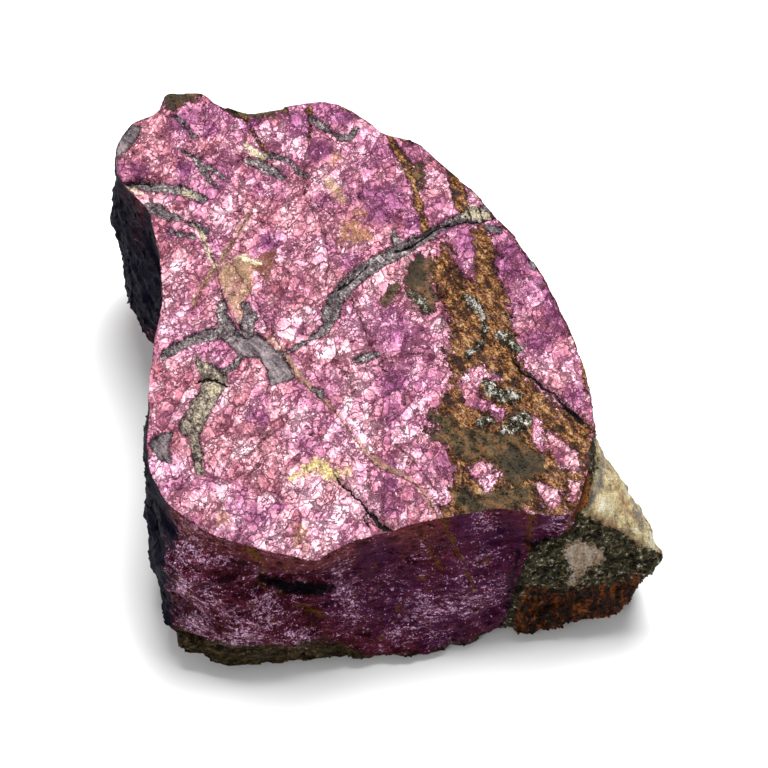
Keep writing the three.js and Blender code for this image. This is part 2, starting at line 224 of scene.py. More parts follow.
@dataclass(frozen=True)
class Facets:
    """Broken facets: each cell of a random mosaic is a plane with its own tilt and step.

    Attributes:
        size: How far apart the cells are.
        step: Most that one cell stands above another.
        slope: Steepest slope of a cell's plane.
        seed: Chooses another mosaic.
        stretch: How much longer the cells are along each axis.
    """

    size: float
    step: float
    slope: float
    seed: int
    stretch: tuple[float, float, float] = (1.0, 1.0, 1.0)

    def relief(self, points: np.ndarray) -> np.ndarray:
        """Height of the mosaic at points.

        Args:
            points: Points, one a row.

        Returns:
            Heights, at most about 0.
        """
        grid = points / (self.size * np.array(self.stretch))
        base = np.floor(grid)
        nearest = np.full(len(points), np.inf)
        height = np.zeros(len(points))
        for corner in np.ndindex(3, 3, 3):
            cell = base + np.array(corner) - 1
            centre = cell + np.stack([hashed(cell, self.seed + a) for a in range(3)], axis=1)
            offset = grid - centre
            distance = np.linalg.norm(offset, axis=1)
            tilt = np.stack([hashed(cell, self.seed + 3 + a) for a in range(3)], axis=1) * 2 - 1
            level = -self.step * hashed(cell, self.seed + 6)
            plane = level + self.slope * self.size * np.sum(tilt * offset, axis=1)
            closer = distance < nearest
            nearest = np.where(closer, distance, nearest)
            height = np.where(closer, plane, height)
        return height


# The facets of the bright face, of the walls and of the feldspar lump.
FACE_FACETS = (
    Facets(size=3.4, step=0.14, slope=0.04, seed=21, stretch=(0.7, 1.3, 1.0)),
    Facets(size=1.3, step=0.05, slope=0.04, seed=31, stretch=(0.75, 1.2, 1.0)),
)
WALL_BLOCKS = Facets(size=2.6, step=0.24, slope=0.14, seed=41, stretch=(1.4, 1.4, 0.8))
WALL_CHIPS = Facets(size=1.0, step=0.12, slope=0.14, seed=42, stretch=(1.3, 1.3, 0.7))
LUMP_FACETS = Facets(size=1.9, step=0.22, slope=0.2, seed=51)


def smooth_step(values: np.ndarray, low: float, high: float) -> np.ndarray:
    """Eases values from 0 at `low` to 1 at `high`.

    Args:
        values: Numbers to ease.
        low: Where the result is 0.
        high: Where the result is 1.

    Returns:
        Numbers from 0 to 1.
    """
    share = np.clip((values - low) / (high - low), 0, 1)
    return share * share * (3 - 2 * share)


@dataclass(frozen=True)
class Streak:
    """A line on the stone as the photograph shows it: points with the line's half width, in pixels."""

    points: tuple[tuple[float, float, float], ...]

    def distances(self, pixels: np.ndarray) -> tuple[np.ndarray, np.ndarray]:
        """Measures how far pixels are from the streak.

        Args:
            pixels: Photograph pixels, one a row.

        Returns:
            The distance past the streak's edge, negative inside it, and the signed distance from
            its middle line, which is negative on the line's right.
        """
        edge = np.full(len(pixels), np.inf)
        side = np.full(len(pixels), np.inf)
        for (ax, ay, aw), (bx, by, bw) in zip(self.points, self.points[1:]):
            along = np.array([bx - ax, by - ay])
            offset = pixels - np.array([ax, ay])
            share = np.clip(offset @ along / (along @ along), 0, 1)
            reach = np.linalg.norm(offset - share[:, None] * along, axis=1)
            past = reach - (aw + (bw - aw) * share)
            cross = along[0] * offset[:, 1] - along[1] * offset[:, 0]
            side = np.where(reach < np.abs(side), np.where(cross < 0, -reach, reach), side)
            edge = np.minimum(edge, past)
        return edge, side


@dataclass(frozen=True)
class Patch:
    """A patch of the stone as the photograph shows it: the corners of its outline, in pixels."""

    outline: tuple[tuple[float, float], ...]

    def distance(self, pixels: np.ndarray) -> np.ndarray:
        """Measures how far pixels are outside the patch.

        Args:
            pixels: Photograph pixels, one a row.

        Returns:
            Distances, negative inside the patch.
        """
        nearest = np.full(len(pixels), np.inf)
        inside = np.zeros(len(pixels), bool)
        corners = zip(self.outline, self.outline[1:] + self.outline[:1])
        for (ax, ay), (bx, by) in corners:
            along = np.array([bx - ax, by - ay])
            offset = pixels - np.array([ax, ay])
            share = np.clip(offset @ along / (along @ along), 0, 1)
            nearest = np.minimum(nearest, np.linalg.norm(offset - share[:, None] * along, axis=1))
            spans = (ay > pixels[:, 1]) != (by > pixels[:, 1])
            rise = by - ay if by != ay else 1.0
            inside ^= spans & (pixels[:, 0] < ax + (pixels[:, 1] - ay) * along[0] / rise)
        return np.where(inside, -nearest, nearest)


def streaks(*lines: tuple) -> tuple[Streak, ...]:
    """Makes one streak of each line."""
    return tuple(Streak(line) for line in lines)


def patches(*outlines: tuple) -> tuple[Patch, ...]:
    """Makes one patch of each outline."""
    return tuple(Patch(outline) for outline in outlines)


# Grey granular veins across the bright face.
VEINS = streaks(
    (
        (490, 208, 6), (478, 213, 7), (467, 214, 5), (443, 226, 4), (423, 238, 5), (406, 247, 8),
        (386, 257, 7), (366, 269, 7), (348, 284, 8), (336, 299, 9), (331, 312, 9), (327, 327, 5),
        (306, 341, 2.5), (286, 352, 2),
    ),
    ((393, 229, 1.5), (395, 239, 4), (400, 247, 5)),
    ((163, 356, 4), (176, 347, 5), (190, 340, 5), (211, 333, 6), (224, 331, 8)),
    ((240, 357, 3), (235, 366, 3), (226, 371, 3)),
    ((222, 303, 5), (221, 314, 6), (228, 328, 8)),
    ((244, 305, 4), (250, 315, 7), (246, 330, 8)),
    ((122, 183, 1.5), (134, 184, 4), (150, 186, 6), (168, 188, 5), (184, 190, 5), (204, 199, 4)),
    ((146, 206, 4), (158, 210, 6), (172, 217, 4), (186, 220, 1.5), (196, 225, 4), (206, 230, 3)),
    ((168, 230, 2), (180, 234, 3), (194, 237, 2)),
    ((183, 151, 1.5), (198, 160, 3), (210, 167, 3), (223, 177, 2)),
    ((197, 162, 2), (204, 172, 3), (216, 187, 1.5)),
    ((245, 159, 3), (258, 162, 5), (270, 170, 5), (283, 177, 3)),
    ((264, 155, 3), (277, 157, 3), (290, 161, 2), (297, 170, 3), (305, 174, 3)),
    ((311, 118, 3), (320, 124, 4), (334, 133, 2), (342, 137, 4), (351, 136, 4), (356, 128, 3)),
    ((172, 114, 2), (182, 122, 2.5), (196, 138, 2)),
    ((356, 360, 3), (366, 357, 5), (377, 353, 3)),
    ((312, 388, 1), (319, 393, 4), (325, 397, 1.5)),
    ((488, 226, 4), (498, 230, 4)),
    ((529, 256, 2), (535, 267, 3)),
)
# Smoother silver-grey parts of the veins.
SLATE_PATCHES = patches(
    (
        (213, 330), (232, 326), (256, 330), (266, 340), (281, 352), (293, 368), (294, 378),
        (283, 381), (271, 386), (268, 370), (259, 357), (240, 357), (235, 350), (223, 340),
    ),
    ((114, 156), (118, 138), (131, 124), (141, 125), (139, 136), (128, 148), (118, 158)),
    ((150, 438), (162, 433), (176, 430), (168, 443), (172, 463), (158, 459), (150, 446)),
)

# The greenish grey vein at the left, between the rounded lobes of the cleavage.
GREEN_VEIN = patches((
    (195, 357), (206, 361), (223, 370), (228, 376), (225, 383), (221, 393), (213, 408), (205, 423),
    (200, 436), (203, 456), (203, 476), (195, 473), (191, 456), (190, 438), (180, 433), (178, 424),
    (185, 413), (191, 401), (201, 388), (200, 375), (196, 366),
))

# Dark olive crust along the foot of the front wall.
CRUST = patches((
    (176, 626), (200, 638), (240, 645), (290, 648), (322, 640), (350, 646), (372, 658), (380, 690),
    (170, 690),
))

# Brown cracks down the front wall, and the parts of it that glint violet.
WALL_CRACKS = streaks(
    ((531, 505, 3), (532, 525, 3), (529, 548, 2)),
    ((442, 518, 2), (452, 540, 3), (462, 562, 2), (476, 594, 1)),
    ((572, 520, 2), (564, 540, 3), (558, 552, 2)),
    ((420, 528, 1), (428, 548, 2), (440, 570, 1)),
    ((248, 548, 4), (262, 566, 3), (264, 590, 2)),
    ((296, 604, 2), (312, 612, 3), (330, 618, 1)),
    ((597, 440, 1), (594, 462, 2), (590, 486, 3), (584, 506, 3), (576, 518, 2)),
)
# Spots of painted sheen and glints on the front wall. Each is a middle and a radius.
WALL_PAINTED_SHEENS = (
    (190, 538, 26), (176, 560, 16), (222, 552, 18), (182, 588, 14), (196, 630, 22), (240, 640, 24),
    (212, 592, 16), (262, 614, 22), (300, 640, 18), (350, 600, 30), (390, 590, 22), (420, 610, 26),
    (400, 630, 24), (460, 600, 30), (486, 556, 20), (500, 590, 26), (560, 524, 18), (486, 524, 22),
    (440, 640, 18), (340, 570, 18), (236, 618, 16), (176, 530, 12),
)
WALL_VIOLETS = (
    (400, 600, 50), (480, 590, 55), (500, 540, 40), (556, 525, 34), (440, 630, 36), (350, 600, 34),
    (380, 560, 30), (470, 530, 30),
)

# Pale cream blocks and bands within the veins and beside the cracks.
CREAM_STREAKS = streaks(
    ((486, 214, 4), (474, 211, 6), (466, 214, 3)),
    ((127, 187, 1.5), (136, 191, 3), (143, 194, 1)),
    ((246, 144, 2), (252, 151, 4), (263, 157, 3)),
    ((194, 224, 1), (203, 238, 2.5), (210, 256, 3), (216, 268, 1)),
    ((239, 256, 2), (250, 259, 3), (258, 262, 2)),
    ((180, 188, 1), (189, 193, 3), (196, 196, 1)),
    ((212, 384, 2), (216, 388, 4), (210, 391, 2)),
)

# Thin brown cracks in the cleavage.
CRACKS = tuple(Streak(tuple((x, y, 1) for x, y in line)) for line in (
    ((309, 111), (310, 136), (304, 163), (303, 180), (305, 196), (315, 216), (325, 236), (329, 259),
     (325, 286)),
    ((180, 186), (186, 203), (193, 219), (206, 246), (216, 266), (221, 291), (231, 315)),
    ((251, 211), (239, 232), (225, 253), (210, 275), (193, 302)),
    ((249, 125), (257, 138), (266, 151)),
    ((231, 262), (244, 281), (256, 300), (264, 318), (278, 340), (294, 376), (319, 396), (336, 413),
     (352, 433), (367, 456), (380, 468), (397, 474), (417, 485), (430, 501), (439, 521)),
    ((352, 300), (364, 328), (377, 358), (390, 377), (404, 396), (419, 418)),
    ((377, 354), (390, 358), (408, 354), (424, 354), (440, 360)),
    ((395, 443), (413, 461), (426, 476), (437, 490)),
    ((188, 419), (196, 421), (205, 424)),
    ((235, 318), (240, 328), (262, 336)),
    ((305, 196), (322, 208), (334, 216)),
    ((340, 345), (332, 362), (345, 372), (352, 388)),
    ((270, 430), (258, 444), (262, 462), (246, 478)),
    ((300, 452), (288, 466), (276, 480)),
    ((450, 262), (446, 290), (442, 318), (444, 352), (454, 378)),
    ((392, 410), (404, 430), (420, 440)),
))

# Cracks that stand open and dark.
OPEN_CRACKS = streaks(
    ((337, 478, 1), (341, 485, 1), (349, 490, 1), (355, 498, 1), (361, 500, 1.3), (366, 510, 1.6),
     (374, 515, 2), (379, 524, 2.4), (388, 529, 2.6), (396, 536, 2.6), (415, 534, 1.6)),
    ((366, 508, 0.8), (362, 516, 0.8), (368, 524, 0.8)),
    ((515, 361, 1), (522, 371, 1.6), (533, 377, 1.4), (541, 386, 1.6), (553, 391, 1.4), (565, 406, 1.8),
     (583, 421, 2)),
    ((199, 381, 1), (206, 377, 1.6), (214, 378, 1.6), (226, 384, 1)),
    ((122, 183, 1), (140, 180, 1.2), (152, 183, 1)),
    ((396, 250, 1), (412, 245, 1.8), (426, 236, 1.8), (440, 227, 1)),
    ((338, 287, 1), (350, 279, 1.4), (366, 265, 1)),
    ((446, 226, 0.8), (462, 221, 1), (480, 221, 1), (494, 216, 0.8)),
    ((470, 209, 0.8), (472, 219, 0.8)),
    ((481, 206, 0.8), (484, 217, 0.8)),
)

# Ochre and rust on the right of the bright face, and the islands of clean cleavage in it.
RUST_PATCHES = patches(
    (
        (424, 262), (436, 240), (449, 236), (456, 262), (466, 282), (472, 262), (470, 230),
        (484, 222), (496, 240), (500, 268), (510, 300), (516, 330), (520, 356), (532, 380), (560, 404),
        (592, 424), (594, 452), (586, 486), (575, 522), (548, 515), (508, 512), (470, 516), (440, 520),
        (446, 500), (456, 470), (440, 440), (436, 408), (450, 384), (446, 350), (450, 322), (440, 300),
    ),
)
RUST_STREAKS = streaks(
    ((383, 122, 2), (392, 140, 3), (400, 155, 4), (413, 173, 6), (416, 196, 3), (423, 221, 4),
     (430, 236, 5)),
    ((426, 141, 3), (442, 155, 5), (453, 168, 6), (459, 190, 7), (462, 206, 6)),
    ((249, 125, 1.5), (257, 138, 2), (266, 151, 1.5)),
    ((309, 109, 3), (311, 120, 1.5), (309, 136, 1)),
    ((340, 106, 1), (362, 114, 1.5), (386, 132, 2), (420, 142, 2), (442, 160, 2), (470, 184, 2),
     (490, 204, 3), (520, 240, 4), (546, 276, 3), (566, 316, 2.5), (581, 350, 2.5), (588, 390, 2)),
    ((225, 106, 3), (235, 112, 4), (248, 118, 3)),
)
PINK_ISLANDS = patches(
    ((531, 411), (540, 420), (546, 440), (548, 452), (540, 454), (532, 440)),
    ((548, 430), (562, 438), (578, 452), (582, 470), (570, 474), (556, 460), (546, 446)),
    ((535, 481), (548, 484), (562, 490), (562, 505), (550, 508), (540, 498)),
    ((570, 478), (580, 482), (576, 505), (568, 500)),
    ((466, 468), (482, 458), (494, 462), (508, 472), (496, 480), (494, 500), (486, 498), (480, 482)),
    ((449, 230), (462, 224), (472, 230), (474, 256), (476, 280), (466, 276), (456, 254)),
    ((494, 262), (512, 262), (530, 290), (524, 300), (506, 290)),
    ((460, 376), (478, 366), (494, 372), (506, 382), (484, 380), (478, 392), (490, 402), (508, 410),
     (500, 424), (490, 412), (466, 404), (458, 390)),
    ((430, 244), (440, 240), (441, 258), (432, 259)),
    ((548, 300), (540, 318), (538, 340), (530, 346), (520, 330), (516, 300), (528, 290)),
)

# Dark olive crust on the rust, and its grey-green nodules.
OLIVE_PATCHES = patches(
    (
        (426, 428), (438, 432), (446, 424), (464, 426), (486, 432), (509, 431), (526, 441), (544, 455),
        (545, 470), (531, 476), (516, 487), (504, 479), (493, 465), (484, 458), (473, 461), (462, 457),
        (451, 447), (440, 440), (430, 436),
    ),
    (
        (453, 488), (475, 500), (484, 494), (500, 488), (531, 483), (536, 501), (509, 509), (473, 514),
        (457, 508),
    ),
    ((426, 414), (440, 412), (456, 420), (450, 428), (436, 424)),
    ((410, 262), (420, 254), (432, 262), (432, 284), (438, 304), (426, 314), (414, 306), (404, 286)),
    ((380, 300), (386, 290), (398, 280), (404, 284), (392, 300), (384, 306)),
    ((413, 163), (423, 165), (425, 186), (417, 190), (411, 176)),
    ((162, 88), (204, 88), (198, 99), (186, 101), (172, 108), (164, 106)),
    ((232, 104), (262, 108), (286, 104), (290, 112), (262, 118), (240, 117)),
)
SOOT_PATCHES = patches(
    ((164, 90), (182, 90), (184, 99), (176, 106), (164, 106)),
    ((500, 452), (520, 448), (540, 458), (542, 470), (528, 476), (512, 480), (502, 468)),
    ((507, 416), (520, 412), (530, 420), (526, 432), (508, 434), (502, 426)),
    ((404, 258), (418, 256), (426, 272), (424, 290), (412, 284), (402, 272)),
    ((466, 486), (482, 496), (480, 504), (462, 500)),
    ((124, 128), (134, 126), (128, 142), (118, 152), (116, 146)),
)
NODULE_STREAKS = streaks(
    ((484, 382, 3), (492, 388, 6), (500, 396, 6), (512, 396, 7), (519, 394, 3)),
    ((464, 296, 3), (474, 304, 5), (484, 316, 3), (485, 334, 2.5), (480, 346, 3), (466, 355, 3)),
    ((498, 334, 4), (508, 340, 6), (518, 348, 4)),
    ((410, 294, 3), (420, 300, 4), (428, 312, 3)),
    ((505, 430, 4), (515, 425, 8), (525, 420, 8)),
    ((480, 422, 4), (489, 420, 5)),
)

# Tan, ochre and yellow stains on the cleavage.
TAN_PATCHES = patches(
    ((218, 270), (228, 262), (243, 263), (252, 272), (253, 286), (247, 293), (242, 300), (247, 313),
     (243, 322), (238, 320), (233, 310), (225, 293), (220, 281)),
    ((232, 257), (250, 256), (258, 266), (252, 272), (240, 268)),
)
OCHRE_PATCHES = patches(
    ((341, 228), (352, 219), (360, 224), (372, 239), (356, 241), (340, 240)),
    ((330, 156), (340, 154), (341, 162), (332, 163)),
    ((355, 206), (364, 205), (364, 214), (356, 214)),
    ((219, 512), (228, 512), (228, 522), (220, 522)),
    ((296, 529), (306, 530), (305, 545), (297, 543)),
)
TAN_STREAKS = streaks(
    ((262, 330, 1), (282, 352, 2.4), (298, 374, 2.4), (318, 394, 1.4), (336, 412, 0.8), (352, 432, 0.8),
     (368, 454, 1.4), (384, 466, 2), (404, 475, 1), (424, 492, 1), (438, 516, 1.4)),
    ((251, 211, 1), (239, 232, 1.5), (225, 253, 2), (210, 275, 2), (193, 302, 1)),
    ((326, 178, 3), (336, 190, 5), (342, 198, 3)),
)
BROWN_PATCHES = patches(
    ((249, 261), (262, 254), (277, 249), (274, 262), (267, 282), (257, 270)),
)
YELLOW_STREAKS = streaks(
    ((294, 477, 1), (304, 470, 3), (316, 464, 5), (326, 470, 6), (334, 476, 5), (346, 472, 2)),
)

# Patches where the cleavage is dull violet, and patches of painted sheen where it is painted pale.
# Each is a middle and a radius.
VIOLET_SPOTS = (
    (386, 505, 17), (392, 485, 10), (278, 506, 8), (263, 517, 12), (230, 507, 7), (248, 415, 9),
    (263, 418, 8), (300, 124, 16), (250, 122, 12), (340, 115, 16), (415, 220, 14), (465, 246, 12),
    (214, 258, 8), (380, 200, 26), (350, 260, 12), (396, 380, 16), (170, 232, 8), (395, 330, 18),
    (210, 130, 12), (270, 240, 14), (150, 462, 8), (420, 448, 8), (184, 168, 10), (520, 258, 32),
    (500, 262, 18), (560, 320, 24), (540, 290, 22), (576, 396, 10), (140, 170, 14), (455, 236, 26),
    (538, 340, 18), (300, 330, 10), (232, 290, 10), (392, 420, 14), (180, 130, 20), (320, 150, 14),
)
PAINTED_SHEEN_SPOTS = (
    (172, 420, 9), (184, 402, 6), (380, 284, 20), (352, 318, 14), (345, 350, 10), (270, 545, 30),
    (222, 518, 24), (330, 520, 24), (300, 490, 26), (388, 540, 8), (240, 450, 14), (160, 470, 14),
    (250, 215, 16), (165, 330, 14), (244, 152, 12), (318, 180, 16), (410, 370, 16), (200, 500, 16),
    (548, 360, 9), (262, 375, 14), (170, 300, 12), (350, 400, 12), (366, 312, 22), (356, 380, 22),
    (300, 420, 20), (290, 210, 14), (190, 360, 12), (440, 350, 10), (520, 280, 8), (330, 360, 18),
)

# Painted deep shade under the lip, beside the lump and along the left edge.
PAINTED_HOLLOW_SHADES = streaks(
    ((258, 576, 1), (276, 584, 5), (300, 588, 7), (318, 590, 6), (333, 588, 2)),
    ((529, 544, 2), (538, 546, 5), (552, 545, 3)),
    ((154, 500, 1), (158, 540, 4), (160, 575, 4), (166, 620, 3), (176, 640, 2)),
    ((519, 552, 2), (514, 575, 2), (507, 612, 2), (500, 636, 2)),
)

# The feldspar lump at the front right corner.
CREAM_FACET = patches((
    (596, 436), (608, 446), (622, 466), (640, 500), (654, 530), (662, 552), (644, 549), (618, 531),
    (593, 517), (580, 516), (588, 500), (592, 480), (600, 468), (597, 450),
))
FACET_GREYS = streaks(
    ((600, 440, 1), (603, 462, 3), (599, 484, 4), (591, 504, 3), (584, 514, 2)),
    ((626, 486, 1), (640, 514, 3), (650, 534, 2)),
)
FACET_AMBERS = streaks(
    ((590, 520, 3), (606, 524, 5), (622, 536, 4), (640, 548, 3)),
    ((612, 478, 1), (622, 496, 3), (636, 520, 1)),
)
# Its contact with the purpurite: heights, the place across the stone at each, and the rear end.
LUMP_HEIGHTS = (0, 4, 13, 15, 17, 19.5, 21)
LUMP_CONTACT = (13.8, 14.8, 16.4, 17, 20.5, 22.6, 24.6)
LUMP_REAR = -12.4
PINK_FELDSPAR = patches((
    (567, 545), (578, 541), (590, 544), (602, 550), (603, 562), (592, 568), (580, 576), (574, 588),
    (568, 586), (572, 572), (564, 558),
))
LUMP_RUST = patches((
    (524, 592), (540, 588), (560, 590), (584, 588), (610, 586), (636, 574), (644, 590), (632, 612),
    (600, 626), (570, 650), (520, 650), (512, 630), (518, 606),
))

# Every marking by the name of its attribute.
STREAK_MARKS = {
    "vein": VEINS, "cream": CREAM_STREAKS, "rust_line": RUST_STREAKS, "wall_crack": WALL_CRACKS,
    "facet_grey": FACET_GREYS, "facet_amber": FACET_AMBERS, "nodule": NODULE_STREAKS,
    "tan": TAN_STREAKS, "yellow": YELLOW_STREAKS, "painted_hollow_shade": PAINTED_HOLLOW_SHADES,
}
PATCH_MARKS = {
    "slate": SLATE_PATCHES, "green_vein": GREEN_VEIN, "rust": RUST_PATCHES, "crust": CRUST,
    "island": PINK_ISLANDS, "olive": OLIVE_PATCHES, "soot": SOOT_PATCHES, "ochre": OCHRE_PATCHES,
    "brown": BROWN_PATCHES, "cream_facet": CREAM_FACET, "pink_feldspar": PINK_FELDSPAR,
    "lump_rust": LUMP_RUST,
}
SPOT_MARKS = {
    "wall_painted_sheen": WALL_PAINTED_SHEENS, "wall_violet": WALL_VIOLETS, "violet": VIOLET_SPOTS, "painted_sheen": PAINTED_SHEEN_SPOTS,
}


class Zone(Enum):
    """The kinds of surface that the stone is refined by, with the longest edge each may keep."""

    BRIGHT = 0.39
    SHOWN = 0.56
    HIDDEN = 1.1
    BENEATH = 2.2


ZONES = list(Zone)


@dataclass
class FineMesh:
    """A triangle mesh that is made finer and moved about as arrays.

    Attributes:
        points: Vertex places, one a row.
        faces: Vertex numbers, one triangle a row.
        zones: Each face's place in ZONES.
    """

    points: np.ndarray
    faces: np.ndarray
    zones: np.ndarray

    def allowed(self) -> np.ndarray:
        """Returns the longest edge that each face may keep."""
        return np.array([zone.value for zone in ZONES])[self.zones]

    def edges(self) -> tuple[np.ndarray, np.ndarray]:
        """Lists the edges.

        Returns:
            The vertex pairs of the edges, and the edge numbers of each face's three sides.
        """
        sides = self.faces[:, [0, 1, 1, 2, 2, 0]].reshape(-1, 2)
        pairs, number = np.unique(np.sort(sides, axis=1), axis=0, return_inverse=True)
        return pairs, number.reshape(-1, 3)

    def split_long_edges(self) -> bool:
        """Halves the edges that are longer than their zone allows, once.

        Returns:
            Whether any edge was halved.
        """
        pairs, sides = self.edges()
        longest = np.full(len(pairs), np.inf)
        for side in range(3):
            np.minimum.at(longest, sides[:, side], self.allowed())
        length = np.linalg.norm(self.points[pairs[:, 0]] - self.points[pairs[:, 1]], axis=1)
        halved = length > longest
        if not halved.any():
            return False
        middle = np.full(len(pairs), -1)
        middle[halved] = len(self.points) + np.arange(halved.sum())
        added = self.points[pairs[halved]].mean(axis=1)
        self.points = np.concatenate([self.points, added])
        self._cut_faces(middle[sides])
        return True

    def _cut_faces(self, middles: np.ndarray) -> None:
        """Replaces the faces by smaller ones that meet at the new middles.

        Args:
            middles: The new vertex on each face's three sides, or -1.
        """
        count = (middles >= 0).sum(axis=1)
        kept, kept_zones = [self.faces[count == 0]], [self.zones[count == 0]]

        def keep(where: np.ndarray, *corners: np.ndarray) -> None:
            """Adds one triangle for each face in `where`."""
            kept.append(np.stack(corners, axis=1))
            kept_zones.append(self.zones[where])

        whole = np.nonzero(count == 3)[0]
        a, b, c = self.faces[whole].T
        m, n, o = middles[whole].T
        for corners in ((a, m, o), (m, b, n), (o, n, c), (m, n, o)):
            keep(whole, *corners)
        for turn in range(3):
            corners = np.roll(self.faces, -turn, axis=1)
            between = np.roll(middles, -turn, axis=1)
            one = np.nonzero((count == 1) & (between[:, 0] >= 0))[0]
            a, b, c = corners[one].T
            m = between[one, 0]
            keep(one, a, m, c)
            keep(one, m, b, c)
            two = np.nonzero((count == 2) & (between[:, 2] < 0))[0]
            a, b, c = corners[two].T
            m, n = between[two, 0], between[two, 1]
            keep(two, m, b, n)
            keep(two, a, m, n)
            keep(two, a, n, c)
        self.faces = np.concatenate(kept)
        self.zones = np.concatenate(kept_zones)

    def face_normals(self) -> np.ndarray:
        """Returns each face's normal, as long as twice its area."""
        a, b, c = (self.points[self.faces[:, corner]] for corner in range(3))
        return np.cross(b - a, c - a)

    def normals(self) -> np.ndarray:
        """Returns each vertex's unit normal."""
        total = self.sum_to_vertices(self.face_normals())
        return total / np.maximum(np.linalg.norm(total, axis=1, keepdims=True), TINY)

    def sum_to_vertices(self, values: np.ndarray) -> np.ndarray:
        """Adds up a value of each face at the face's vertices.

        Args:
            values: One row or number a face.

        Returns:
            One row or number a vertex.
        """
        values = values.reshape(len(self.faces), -1)
        total = np.zeros((len(self.points), values.shape[1]))
        for column in range(values.shape[1]):
            for corner in range(3):
                total[:, column] += np.bincount(
                    self.faces[:, corner], values[:, column], minlength=len(self.points))
        return total

    def averaged(self, values: np.ndarray, pairs: np.ndarray) -> np.ndarray:
        """Averages a value over each vertex's neighbours.

        Args:
            values: One row a vertex.
            pairs: The edges that count.

        Returns:
            One row a vertex. A vertex with no such edge keeps its own.
        """
        count = np.bincount(pairs.ravel(), minlength=len(values))
        total = np.stack([
            np.bincount(pairs[:, 0], values[pairs[:, 1], column], minlength=len(values))
            + np.bincount(pairs[:, 1], values[pairs[:, 0], column], minlength=len(values))
            for column in range(values.shape[1])
        ], axis=1)
        return np.where(count[:, None] > 0, total / np.maximum(count, 1)[:, None], values)


